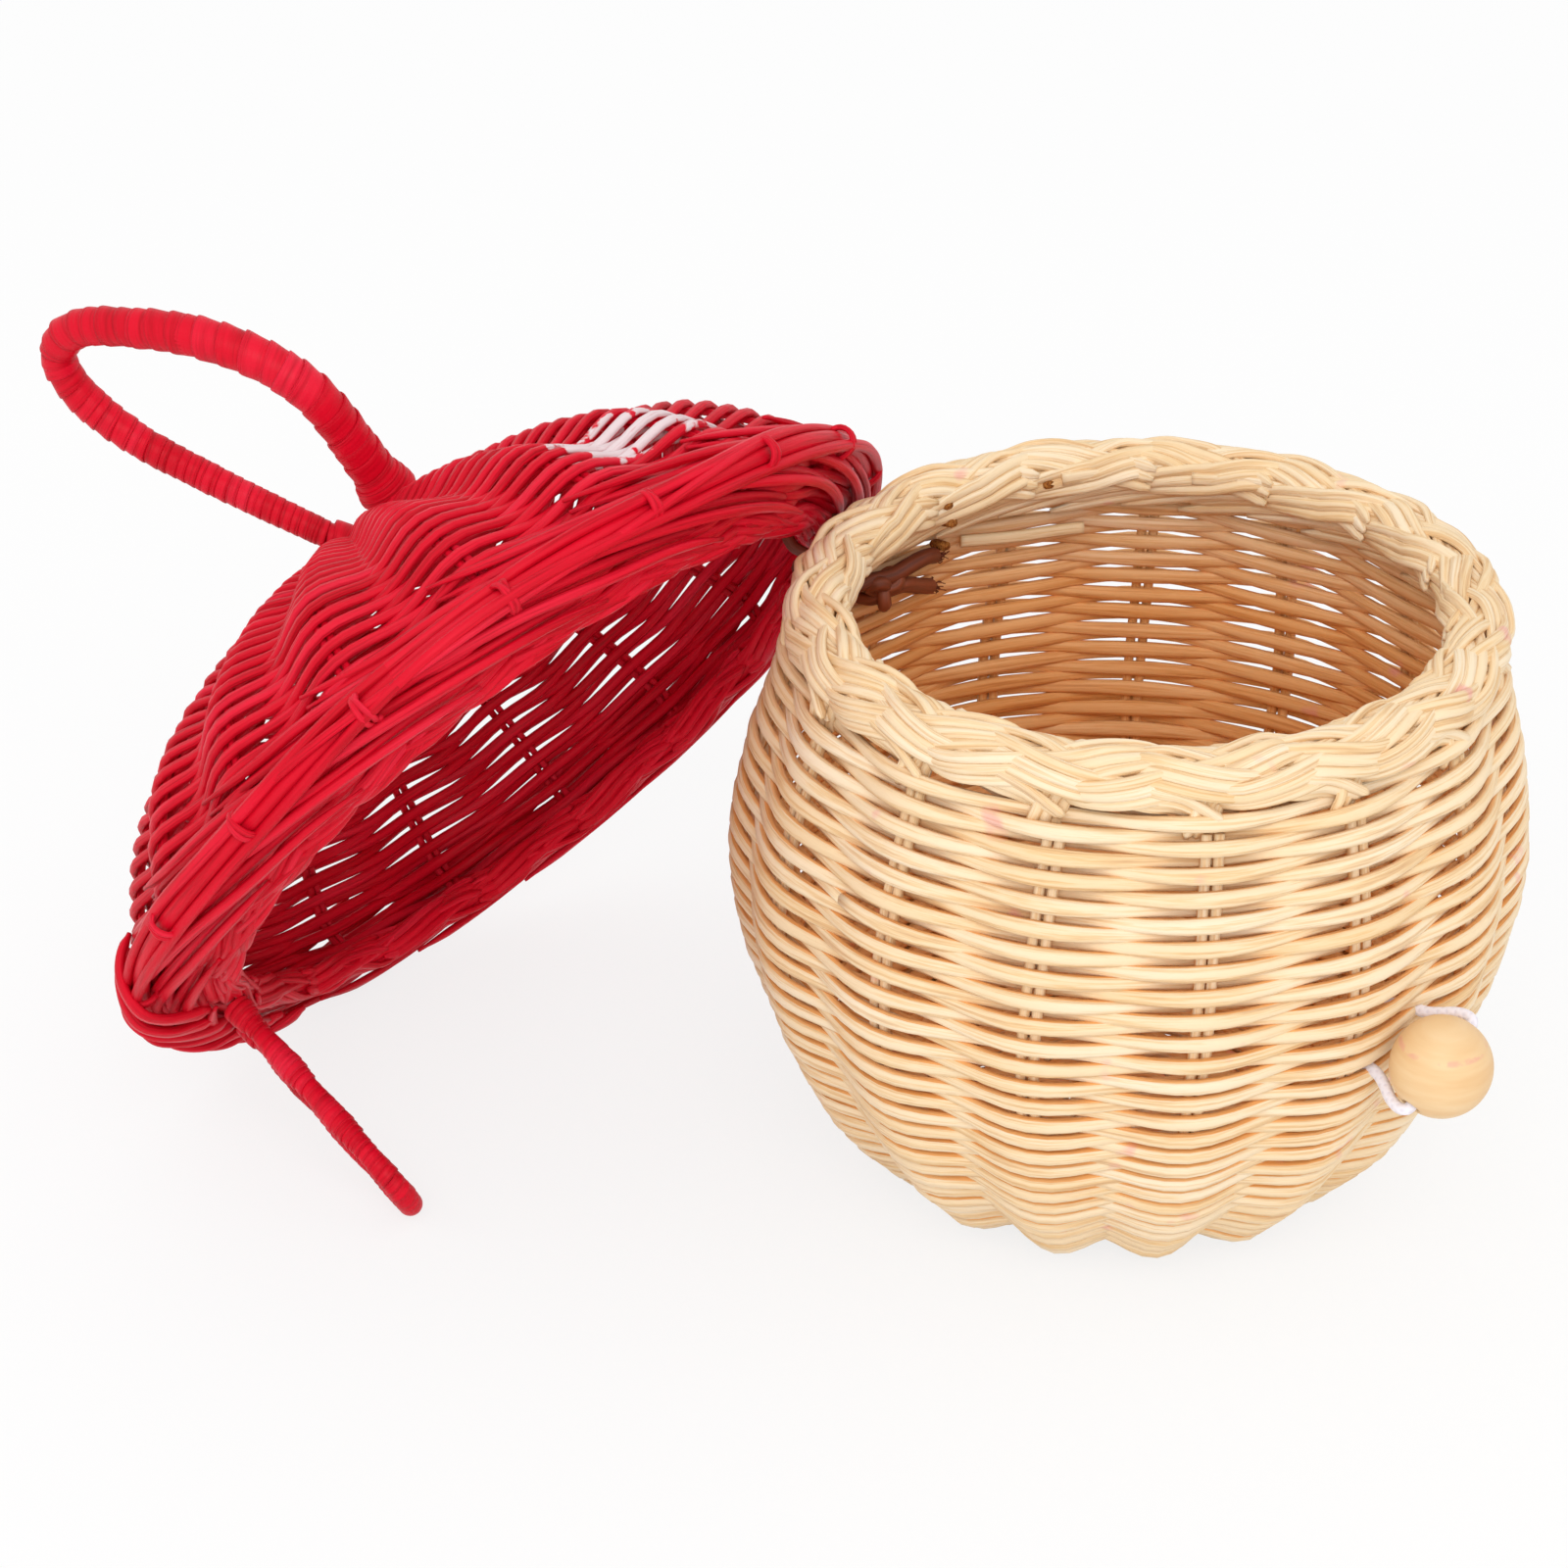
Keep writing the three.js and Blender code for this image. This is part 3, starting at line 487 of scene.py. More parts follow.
wallLine = sheetLine(pot["outline"], pot["swing"] + pot["strandThick"] / 2 - pot["proud"], 120)
floorLine = [(radius, pot["baseHeight"] + rise) for radius, rise in pot["floor"]]
potLine = smoothLine(np.vstack([floorLine, wallLine[::6][1:], wallLine[-1:]]), 600)
# the pot wall gets strong painted shade on its inner face, the rim only a little
naturalCane = makeNaturalCane("peeledRattanCore", 0.75), "natural_cane"
rimCane = makeNaturalCane("peeledRattanRim", 0.15), "natural_cane"
cutEnd = makeCutEnd(), "natural_cane"
redCane = makeRedCane("dyedRattanCore", dyed["coreFibres"]), "red_cane"
redPeel = makeRedCane("dyedRattanPeel", dyed["peelFibres"]), "red_cane"


def buildPot():
    lengths = walked(potLine)
    onWall = slice(200, None)  # past the floor the line only climbs
    weaveEnd = float(np.interp(pot["weaveTop"], potLine[onWall, 1], lengths[onWall]))
    points, facing, width = weave(potLine, pot, weaveEnd)
    # the cane is fuller towards the base
    swell = np.interp(points[:, 2], *zip(*pot["lowSwell"]))
    cuts = [0, *(int(np.argmax(points[:, 2] > height)) for height in pot["cuts"]), len(points) - 1]
    for index, name in enumerate(["potWeaveLow", "potWeaveMiddle", "potWeaveHigh"]):
        part = slice(cuts[index], cuts[index + 1] + 1)
        strand = layStrand(leaned(points[part]), facing[part], width[part] * swell[part],
                           pot["strandThick"] * swell[part])
        replaced = ["pot_wall"] if index == 1 else []
        addPiece(name, [strand], "pot", naturalCane, *replaced)
    # the middle of the base is a plain coil
    turns = np.arange(0, pot["coilReach"] / pot["coilPitch"], 1 / 40)
    coil = around(pot["coilStart"] + pot["coilPitch"] * turns, turns * fullTurn, pot["baseHeight"])
    base = layStrand(coil, up, pot["coilWidth"], pot["coilThick"])
    addPiece("potBaseCoil", [base], "pot", naturalCane, "pot_base")
    line = smoothLine(potLine[::12], 90)
    line = line[line[:, 1] < pot["stakeTop"]]
    for index in range(pot["stakes"]):
        azimuth = pot["phase"] + index / pot["stakes"] * fullTurn
        canes = []
        for side in (-1, 1):
            points, facing = stakeCane(line, pot, azimuth, side)
            canes.append(layStrand(leaned(points), facing, pot["stakeWidth"], pot["stakeThick"]))
        addPiece(f"potStakePair{index + 1:02d}", canes, "pot", naturalCane, f"pot_stake_{index + 1:02d}")
    print("pot woven")


# The pot's rim is a tubular plait: at each stake a bundle of canes climbs outside, crosses the top and dives
# inside, and another comes up inside and goes down outside, over and under the first ones

potRim = {
    "middle": 60.4, "centreHeight": 117.4, "halfAcross": 5.4, "halfHigh": 3.9,
    "perStake": 78, "weaveDepth": 0.75, "rising": (-35, 165), "falling": (175, -42),
    "lead": [(-0.1, 64.4, 107.5), (-0.06, 64.9, 111.3)], "tail": [(0.25, 64.9, 110.6)],
    "innerTail": [(0.5, 56.3, 116.2), (1.1, 58.2, 112.8), (1.7, 60, 109.6), (2.2, 61.4, 107)], "stagger": 7,
    "caneWidth": 2.3, "caneThick": 1.7, "spread": 2.05, "sideDrop": 0.25, "unevenness": 0.15,
    "ends": [(60.8, 36.5, 118.6, 54.6), (34.2, 11.5, 118.9, 54.6), (54, 77, 104, 60.9)],
    "endWidth": 2.5, "endThick": 1.4, "endDive": 2.5, "endSag": 0.4,
    "stubs": [(87, 118.5, 55.2), (85.5, 114.2, 55.2), (81.5, 105.2, 61.8), (63.5, 117.6, 55.2)],
    "stubWidth": 2.3, "stubThick": 1.7, "stub": [(-0.3, 0), (1, 0.3), (2.2, 0.6), (3.4, 0.9)],
}


def plaitRing(look, count, phase, lift=lambda points: points):
    strands = []
    knots = 17
    meeting = (look["falling"][0] - look["rising"][0]) / (2 * look["perStake"])
    for index in range(count):
        for way, path in ((1, "rising"), (-1, "falling")):
            first, last = look[path]
            steps = np.linspace(0, abs(last - first) / look["perStake"], knots)
            angle = np.radians(first + way * look["perStake"] * steps)
            depth = way * look["weaveDepth"] * np.cos(fullTurn * (steps - meeting))
            depth = depth + draws.normal(0, look["unevenness"], knots)
            table = np.stack([steps, look["middle"] + (look["halfAcross"] + depth) * np.cos(angle),
                              look["centreHeight"] + (look["halfHigh"] + depth) * np.sin(angle)], 1)
            if way == 1 and look["lead"]:
                table = np.vstack([look["lead"], table])
            tail = look["innerTail"] if way == 1 else look["tail"]
            if tail:
                table = np.vstack([table, np.array(tail) + [steps[-1], 0, 0]])
            line = smoothLine(table, 90)
            azimuth = phase + (index + line[:, 0]) / count * fullTurn
            points = around(line[:, 1], azimuth, line[:, 2])
            # a cane faces away from the heart of the plait, and in its tail away from the wall
            inTail = (line[:, 0] > steps[-1]) & (way == 1)
            heartRadius = np.where(inTail, line[:, 1] + 3, look["middle"])
            tailHeight = np.minimum(look["centreHeight"], line[:, 2] + 2)
            heartHeight = np.where(inTail, tailHeight, look["centreHeight"])
            outward = unit(points - around(heartRadius, azimuth, heartHeight))
            directions = unit(np.gradient(points, axis=0))
            across = np.cross(squareTo(directions, outward), directions)
            for side in (-1, 0, 1):
                shifted = points + across * side * look["spread"] - outward * (look["sideDrop"] * abs(side))
                if look["innerTail"] and way == 1:
                    shifted = shifted[:len(shifted) - look["stagger"] * (side + 1)]
                strands.append(layStrand(lift(shifted), outward[:len(shifted)], look["caneWidth"],
                                         look["caneThick"], taper=2))
    return strands


def buildPotRim():
    strands = plaitRing(potRim, pot["stakes"], pot["phase"], leaned)
    addPiece("potRimPlait", strands, "pot", rimCane, "pot_border")
    ends, stubs = [], []
    for start, end, height, radius in potRim["ends"]:
        # a cane end that lies along the inside of the rim, cut square
        share = np.linspace(0, 1, 24)
        azimuth = np.radians(np.linspace(start, end, 24))
        points = around(radius + potRim["endDive"] * share ** 2, azimuth,
                        height - potRim["endSag"] * np.sin(azimuth * 12))
        ends.append(layStrand(leaned(points), around(-1, azimuth, 0), potRim["endWidth"], potRim["endThick"],
                              boxy=0.7))
    addPiece("potRimEnds", ends, "pot", rimCane)
    outwards, drops = np.array(potRim["stub"]).T
    for turn, height, radius in potRim["stubs"]:
        points = around(radius + outwards, math.radians(turn), height - drops)
        stubs.append(layStrand(leaned(points), up, potRim["stubWidth"], potRim["stubThick"], boxy=0.7))
    addPiece("potStakeEnds", stubs, "pot", cutEnd)
    print("rim plaited")


# The lid: drawn about its own axis with its edge hoop at height zero, then put where the open lid lies

lid = {
    "centre": (-67.6432, 99.3638, 76.0453),
    "axes": ((-0.668392, 0.740357, -0.071582), (-0.462651, -0.338457, 0.819391),
             (0.582414, 0.580792, 0.568749)),
    "outline": [(83.2, -1.2), (83.4, 3), (82.93, 8.1), (76.98, 18.01), (67.48, 27.98), (49.48, 38.0),
                (27.42, 46.0), (8.26, 49.99)],
    "crownHeight": 50.6, "crownRadius": 6.5, "inset": 0.2, "stakes": 17, "phase": -math.pi / 2,
    "strandWidth": 2.8, "strandThick": 1.6, "swing": 1.5, "fill": 1.14, "squeeze": 0.04, "jitter": 0.1,
    "pitches": [(0, 2.05), (40, 2.12), (110, 2.2)],
    "lobe": [(0, 2.4)], "lobeGrows": [(14, 0), (48, 1)], "lobeSide": -1,
    "stakeWidth": 1.55, "stakeThick": 1.395, "stakeSpread": 0.85, "drawnTogether": (4, 25, 0.25),
    "stakeWander": 0.1, "stakeFoot": (85.2, -2.6), "stakeHub": (0.5, -0.6),
    # dots by azimuth, radius, height and size; the first four make the long one by the edge
    "paint": [(46.5, 72.9, 22.2, 8.5), (51.5, 73.3, 21.8, 8.5), (57.5, 75, 19.7, 7), (62.5, 76.5, 16.8, 4.5),
              (131, 69, 26, 12.5), (212, 66, 28.5, 12)],
}
lidAxes = np.array(lid["axes"])
lidCentre = np.array(lid["centre"])


def onLid(points):
    return np.asarray(points) @ lidAxes.T + lidCentre


paintSpots = [(tuple(onLid(around(radius, math.radians(azimuth), height)) / 1000), size / 1000)
              for azimuth, radius, height, size in lid["paint"]]
paintedCane = makeRedCane("dyedRattanPainted", dyed["coreFibres"], paintSpots), "red_cane"
domeLine = sheetLine(lid["outline"], lid["swing"] + lid["strandThick"] / 2 + lid["inset"], 400)
domeLine = domeLine[domeLine[:, 0] > lid["crownRadius"]]


def buildLidDome():
    points, facing, width = weave(domeLine, lid)
    strand = layStrand(points, facing, width, lid["strandThick"])
    addPiece("lidWeave", [strand], "lid", paintedCane, "lid_dome")
    hub = (lid["stakeHub"][0], domeLine[-1, 1] + lid["stakeHub"][1])
    line = smoothLine(np.vstack([lid["stakeFoot"], domeLine[::24], hub]), 70)
    stakes = []
    for index in range(lid["stakes"]):
        azimuth = lid["phase"] + index / lid["stakes"] * fullTurn
        for side in (-1, 1):
            points, facing = stakeCane(line, lid, azimuth, side)
            stakes.append(layStrand(points, facing, lid["stakeWidth"], lid["stakeThick"], sides=6))
    addPiece("lidStakes", stakes, "lid", redCane, "lid_ribs")
    print("lid dome woven")


# The lid's underside: a few rows woven inwards from the edge, then the bound ring of the opening

flange = {
    "line": [(73.6, -6.6), (77.5, -5.4), (81.5, -3.3), (84.2, -0.6), (84.8, 2.0)],
    "stakes": 17, "phase": -math.pi / 2,
    "strandWidth": 2.6, "strandThick": 1.6, "swing": 1.0, "fill": 1.3, "squeeze": 0.05, "jitter": 0.16,
    "pitches": [(0, 1.9), (14, 2.0)], "lobe": [(0, 2.2)], "lobeGrows": [(0, 1)], "lobeSide": 1,
}
lidRing = {
    "middle": 71.3, "centreHeight": -5.4, "halfAcross": 2.3, "halfHigh": 1.8,
    "perStake": 105, "weaveDepth": 0.5, "rising": (20, 340), "falling": (160, -160),
    "lead": [], "tail": [], "innerTail": [],
    "caneWidth": 1.9, "caneThick": 1.35, "spread": 1.75, "sideDrop": 0.25, "unevenness": 0.15,
}


def buildLidUnderside():
    points, facing, width = weave(smoothLine(flange["line"], 120), flange)
    strand = layStrand(points, facing, width, flange["strandThick"])
    addPiece("lidUndersideWeave", [strand], "lid", redCane, "lid_flange")
    ring = plaitRing(lidRing, lid["stakes"], lid["phase"])
    addPiece("lidOpeningPlait", ring, "lid", redCane, "lid_border")
    print("lid underside woven")


# The lid's edge: a thick rod outside, thinner ones that wind about it, stake ends that sweep along under it,
# and a small crossed lashing at each stake

edge = {
    "radius": 86.6, "rod": 1.75,
    "companions": [(1.15, 70, 38, 5), (1.1, -62, 40, 4), (0.9, 10, 75, 3)],  # radius, angle, sway, waves
    "sweep": [(-0.3, 81.2, 9.6), (0.2, 82.9, 6.6), (0.8, 84.7, 3.6), (1.4, 85.3, 0.4), (2.0, 84.6, -2.6),
              (2.6, 82.4, -4.8), (3.2, 79.2, -6.0), (3.6, 76.5, -6.6)],
    "sweepWidth": 2.3, "sweepThick": 1.6, "sweepApart": 0.95, "sweepHeart": (77.0, 2.0),
    "lashWidth": 1.3, "lashThick": 1.1, "lashReach": 2.75, "lashTurns": 2.25, "lashOut": 0.2,
    "loopStarts": (-66, -72.5, -79, -85, -91.5, -98, -104), "loopWidth": 3.1, "loopThick": 2.0,
    "loop": [(2, 83.0, 8.5), (1, 87.4, 5.6), (-0.5, 90.0, 1.4), (-2.5, 89.8, -3.2), (-5.5, 86.2, -6.2),
             (-9, 81.5, -7.4), (-12, 77.5, -7.6)], "loopHeart": (82.0, 1.0),
}


def edgeCane(line, azimuth, heart, width, thick, inwards=0, **shape):
    # a cane laid round the edge by (radius, height), its flat side away from the heart of the edge
    points = around(line[:, 1] - inwards, azimuth, line[:, 2])
    return layStrand(points, unit(points - around(heart[0], azimuth, heart[1])), width, thick, **shape)


def buildLidEdge():
    azimuths = np.arange(0, fullTurn, fullTurn / 340)
    middle = around(edge["radius"] + 0.25 * np.sin(azimuths * 6), azimuths, 0.5 * np.sin(azimuths * 5 + 1))
    outward = around(1, azimuths, 0)
    rods = [layStrand(middle, outward, 2 * edge["rod"], 2 * edge["rod"], sides=10, boxy=1, closed=True)]
    for thin, start, sway, waves in edge["companions"]:
        angle = np.radians(start + sway * np.sin(waves * azimuths + start))
        reach = edge["rod"] + thin * 0.9
        along = middle + outward * (np.cos(angle) * reach)[:, None] + up * (np.sin(angle) * reach)[:, None]
        rods.append(layStrand(along, outward, 2 * thin, 2 * thin, closed=True))
    addPiece("lidEdgeRods", rods, "lid", redCane, "lid_edge_hoop")
    sweeps = []
    for index in range(lid["stakes"]):
        for cane in (-0.5, 0.5):
            table = np.array(edge["sweep"], float)
            table[:, 1] += draws.normal(0, 0.25, len(table))
            table[:, 2] += draws.normal(0, 0.3, len(table)) + cane * edge["sweepWidth"] * edge["sweepApart"]
            line = smoothLine(table, 40)
            azimuth = lid["phase"] + (index + line[:, 0]) / lid["stakes"] * fullTurn
            sweeps.append(edgeCane(line, azimuth, edge["sweepHeart"], edge["sweepWidth"], edge["sweepThick"],
                                   0.35 * abs(cane), sides=6, taper=4))
    addPiece("lidEdgeSweeps", sweeps, "lid", redCane)
    for index in range(lid["stakes"]):
        # two turns that cross on the outside, none quite like the next
        azimuth = lid["phase"] + index / lid["stakes"] * fullTurn
        turn = np.linspace(0, edge["lashTurns"] * fullTurn, 60)
        lean = 0.9 * np.sin(turn / edge["lashTurns"] * 2 + 0.4) + draws.normal(0, 0.1)
        reach = edge["lashReach"] + 0.35 * np.cos(2 * turn) + wander(len(turn), 0.08)
        along = azimuth + (lean * np.sign(np.cos(turn / 2)) * 0.8 + 0.45 * np.cos(turn)) / edge["radius"]
        points = around(edge["radius"] + edge["lashOut"] + reach * np.cos(turn), along,
                        reach * 1.15 * np.sin(turn))
        lash = layStrand(points, around(np.cos(turn), azimuth, np.sin(turn)), edge["lashWidth"],
                         edge["lashThick"], sides=6, taper=3)
        addPiece(f"lidLashing{index + 1:02d}", [lash], "lid", redCane, f"lid_lashing_{index + 1:02d}")
    loops = []
    for start in edge["loopStarts"]:
        # beside the closing loop the stake ends pass outside the rods before they turn under
        line = smoothLine(np.array(edge["loop"]) + draws.normal(0, 0.3, (7, 3)), 40)
        loops.append(edgeCane(line, np.radians(start + line[:, 0]), edge["loopHeart"], edge["loopWidth"],
                              edge["loopThick"], taper=3))
    addPiece("lidTipLoops", loops, "lid", redCane)
    print("lid edge bound")


# Loops wound with flat peel: the turns overlap and vary in width, so a dark step shows only here and there

def wind(path, look, firstNormal):
    stepsPerTurn, shingle = 28, 0.1  # each turn leans a little over the one before
    lengths = walked(path)
    tangents = unit(np.gradient(path, axis=0))
    normals = carried(tangents, firstNormal)
    turns = int(lengths[-1] / np.mean(look["pitches"]))
    spacing = spreadOver(look["pitches"], turns)
    spacing = spacing * np.clip(1 + draws.normal(0, look["unevenness"], turns), 0.5, 1.6)
    edges = np.r_[0, np.cumsum(spacing)]
    spacing = spacing / edges[-1] * lengths[-1]
    edges = edges / edges[-1] * lengths[-1]
    turn = np.linspace(0, turns, turns * stepsPerTurn)
    along = np.interp(turn, np.arange(turns + 1), edges)
    swell = np.interp(turn, np.arange(turns + 1), draws.normal(0, look["swelling"], turns + 1))
    radius = np.interp(along, np.linspace(0, lengths[-1], len(look["radii"])), look["radii"]) + swell
    place = sampled(path, lengths, along)
    tangent = unit(sampled(tangents, lengths, along))
    normal = squareTo(tangent, sampled(normals, lengths, along))
    side = np.cross(tangent, normal)
    angle = turn * fullTurn
    outward = normal * np.cos(angle)[:, None] + side * np.sin(angle)[:, None]
    points = place + outward * (radius - look["stripThick"] / 2)[:, None]
    width = np.interp(turn, np.arange(turns) + 0.5, spacing) * look["overlap"]
    facing = unit(outward + tangent * shingle)
    return layStrand(points, facing, width, look["stripThick"], sides=12, boxy=0.45, taper=8)


handle = {
    "width": 44, "height": 68, "turn": 45, "tilt": 24, "base": (5.5, 5.5), "lift": 1.9,
    "outline": [(-0.25, 0), (-0.31, 0.27), (-0.37, 0.48), (-0.41, 0.7), (-0.37, 0.89), (-0.23, 0.995),
                (-0.01, 0.98), (0.21, 0.87), (0.4, 0.73), (0.515, 0.585), (0.54, 0.46), (0.495, 0.335),
                (0.38, 0.19), (0.22, 0)],
    "radii": [2.7, 2.85, 3.0, 3.2, 3.45, 3.6, 3.7, 3.8, 3.9, 4.0, 4.1, 4.2, 4.3], "coreInset": 0.9,
    "pitches": [1.7, 1.8, 2.0, 2.3, 2.6, 3.2, 3.8, 3.9, 3.6, 3.0], "overlap": 1.3, "stripThick": 0.6,
    "unevenness": 0.22, "swelling": 0.09,
    "collar": [(5.9, 0), (5.5, 1.6), (5, 3.4), (4.6, 5.2), (4.4, 7)],
    "smallCollar": [(4.1, 0), (3.7, 1.6), (3.1, 3.4)],
    "wrap": {"pitches": [1.5], "overlap": 1.3, "stripThick": 0.7, "unevenness": 0.1, "swelling": 0.12},
}


def domeHeightAt(radius):
    outline = np.array([(0, lid["crownHeight"])] + lid["outline"][::-1])
    return float(np.interp(radius, outline[:, 0], outline[:, 1]))


def handlePath(count):
    turn, tilt = math.radians(handle["turn"]), math.radians(handle["tilt"])
    across = np.array([math.cos(turn), math.sin(turn), 0])
    forward = np.array([across[1], -across[0], 0])
    upward = up * math.cos(tilt) + forward * math.sin(tilt)
    points = []
    for index, (side, rise) in enumerate(handle["outline"]):
        foot = np.array([*handle["base"], 0.0]) + across * side * handle["width"]
        isFoot = index in (0, len(handle["outline"]) - 1)
        foot[2] = domeHeightAt(math.hypot(foot[0], foot[1])) + (handle["lift"] if isFoot else 0)
        points.append(foot + upward * rise * handle["height"])
    return smoothLine(points, count), np.cross(across, upward)


def buildHandle():
    path, sideways = handlePath(220)
    core = layCord(path, np.array(handle["radii"]) - handle["coreInset"], sideways)
    addPiece("handleCore", [core], "carrying_loop", redCane, "handle_core")
    strip = wind(path[3:-3], handle, sideways)
    addPiece("handleWinding", [strip], "carrying_loop", redPeel, "handle_binding")
    for side, line, collar in (("Left", path, "smallCollar"), ("Right", path[::-1], "collar")):
        # at the foot the strip winds out into a flared collar that lies on the dome
        radii, reaches = zip(*handle[collar])
        foot = line[walked(line) < reaches[-1]]
        wrap = wind(smoothLine(foot, 40), {**handle["wrap"], "radii": radii}, sideways)
        node = f"handle_foot_lashing_{side.lower()}"
        addPiece(f"handleFootWrap{side}", [wrap], "carrying_loop", redPeel, node)
    print("handle wound")


tab = {
    "rootRadius": 74.3, "rootHeight": -8.8, "leanIn": 5.7, "leanSide": 7, "twist": 11.5,
    "length": 51, "spacing": 15.6, "coreInset": 0.6,
    "radii": [2.45, 2.0, 2.5, 2.55, 2.05, 2.4, 2.45, 2.0, 2.25, 2.3, 2.2, 2.3, 2.25, 2.0, 2.45, 2.4, 2.05,
              2.55, 2.5, 2.0, 2.45],
    "pitches": [1.7], "overlap": 1.3, "stripThick": 0.5, "unevenness": 0.2, "swelling": 0.06,
    "wrap": {"radii": [3.0, 2.6], "pitches": [1.3], "overlap": 1.25, "stripThick": 0.6, "unevenness": 0.08,
             "swelling": 0.09},
}


def buildTab():
    half = tab["spacing"] / 2
    straight = tab["length"] - half
    rise = half * math.tan(math.radians(tab["leanSide"]))
    slant = half * math.sqrt(0.5)
    hairpin = [(-half, rise), (-half, -straight / 3), (-half, -2 * straight / 3), (-half, -straight),
               (-slant, -straight - slant), (0, -tab["length"]), (slant, -straight - slant),
               (half, -straight), (half, -2 * straight / 3), (half, -straight / 3), (half, -rise)]
    placing = (Matrix.Translation((0, -tab["rootRadius"], tab["rootHeight"]))
               @ Matrix.Rotation(math.radians(tab["leanIn"]), 4, "X")
               @ Matrix.Rotation(-math.radians(tab["leanSide"]), 4, "Y")
               @ Matrix.Rotation(math.radians(tab["twist"]), 4, "Z"))
    path = smoothLine([tuple(placing @ Vector((x, 0, z))) for x, z in hairpin], 200)
    sideways = np.array(placing.to_3x3() @ Vector((0, 1, 0)))
    core = layCord(path, np.array(tab["radii"]) - tab["coreInset"], sideways)
    addPiece("tabCore", [core], "closing_loop", redCane, "tab_core")
    strip = wind(path[3:-3], tab, sideways)
    addPiece("tabWinding", [strip], "closing_loop", redPeel, "tab_binding")
    for side, line in (("Left", path[:9]), ("Right", path[::-1][:9])):
        wrap = wind(smoothLine(line, 30), tab["wrap"], sideways)
        addPiece(f"tabRootWrap{side}", [wrap], "closing_loop", redPeel, f"tab_root_lashing_{side.lower()}")
    print("tab wound")


# The ball on its elastic: the route runs from the middle of the bore round the ball's side and into the wall

button = {
    "radius": 9.35, "height": 60.4, "turn": -3.6, "tilt": 38, "standOff": 9.9, "wall": 3.4, "bore": 1.2,
    "softening": 0.5, "cord": 1.1, "blendDepths": (1, -6),
    "route": [(5.1, 0), (9, 0.1), (10.2, 1), (10.3, 2.8), (9.6, 4.9), (8.3, 7.2), (7.1, 10), (6.6, 13.6),
              (5.4, 16.6), (2.6, 16.9)],
    "knotReach": 1.5, "knotLobe": 1.1, "knotDepth": 1.0, "knotInside": 3.6, "knotCord": 1.9,
}
paleWood = makePaleWood(), "pale_wood"
elasticCover = makeElastic(), "white_elastic"
ballOut = float(np.interp(button["height"], *smoothLine(pot["outline"], 400)[:, ::-1].T)) + button["standOff"]


def onBore(points):
    # from along the bore, into the pot and square to both
    turn = math.radians(button["tilt"])
    along, inward, square = np.asarray(points, float).T
    slanted = np.stack([along * math.cos(turn) - square * math.sin(turn), inward - ballOut,
                        button["height"] + along * math.sin(turn) + square * math.cos(turn)], 1)
    return slanted @ np.array(Matrix.Rotation(-math.radians(button["turn"]), 3, "Z"))


def overhandKnot(count, reach, lobe, depth):
    # a three-lobed loop that passes over and under itself
    turn = np.linspace(0, fullTurn, count, endpoint=False)
    return np.stack([reach * (np.sin(turn) + lobe * np.sin(2 * turn)), -depth * np.sin(3 * turn),
                     reach * (np.cos(turn) - lobe * np.cos(2 * turn))], 1)


def layKnot(loops, width, thick):
    facing = np.broadcast_to([0.0, -1.0, 0.0], loops.shape)
    return layStrand(loops, facing, width, thick, sides=10, boxy=1, closed=True)


def buildBall():
    dropSelection()
    bpy.ops.mesh.primitive_uv_sphere_add(segments=48, ring_count=32, radius=button["radius"] / 1000)
    ball = bpy.context.object
    ball.name = "ballButton"
    bpy.ops.object.mode_set(mode="EDIT")
    bpy.ops.mesh.select_all(action="DESELECT")
    bpy.ops.object.mode_set(mode="OBJECT")
    for vertex in ball.data.vertices:
        vertex.select = math.hypot(vertex.co.x, vertex.co.y) < button["bore"] / 1000
    bpy.ops.object.mode_set(mode="EDIT")
    bpy.ops.mesh.select_mode(type="VERT")
    bpy.ops.mesh.delete(type="VERT")
    bpy.ops.mesh.select_non_manifold()
    bpy.ops.mesh.bridge_edge_loops()
    bpy.ops.mesh.select_all(action="SELECT")
    bpy.ops.mesh.normals_make_consistent(inside=False)
    bpy.ops.object.mode_set(mode="OBJECT")
    softened = ball.modifiers.new("softened", "BEVEL")
    softened.width = button["softening"] / 1000
    softened.segments = 3
    softened.angle_limit = math.radians(50)
    bpy.ops.object.modifier_apply(modifier="softened")
    bpy.ops.object.shade_smooth_by_angle(angle=math.radians(45))
    places = np.array([v.co for v in ball.data.vertices]) * 1000
    places = onBore(places[:, [2, 0, 1]]) / 1000
    ball.data.vertices.foreach_set("co", places.astype(np.float32).ravel())
    ball.data.update()
    finish(ball, "button", paleWood, "button_ball")


def buildElastic():
    route = [(-a, b, 0) for a, b in button["route"][::-1]] + [(a, b, 0) for a, b in button["route"]]
    cord = layCord(onBore(smoothLine(route, 150)), [button["cord"]] * 2, up, sides=14)
    piece = addPiece("elasticCord", [cord], None, elasticCover, "elastic_cord")
    loops = overhandKnot(70, button["knotReach"], button["knotLobe"], button["knotDepth"])
    inside = button["standOff"] + button["wall"] + button["knotInside"]
    knot = layKnot(onBore(loops + [0, inside, 0]), button["knotCord"], button["knotCord"])
    addPiece("elasticKnot", [knot], "pot", elasticCover, "elastic_knot")
    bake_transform(piece)
    print("button strung")


# The brown cord that hinges the lid: ends inside the pot, through the wall, round the lid's ring and back

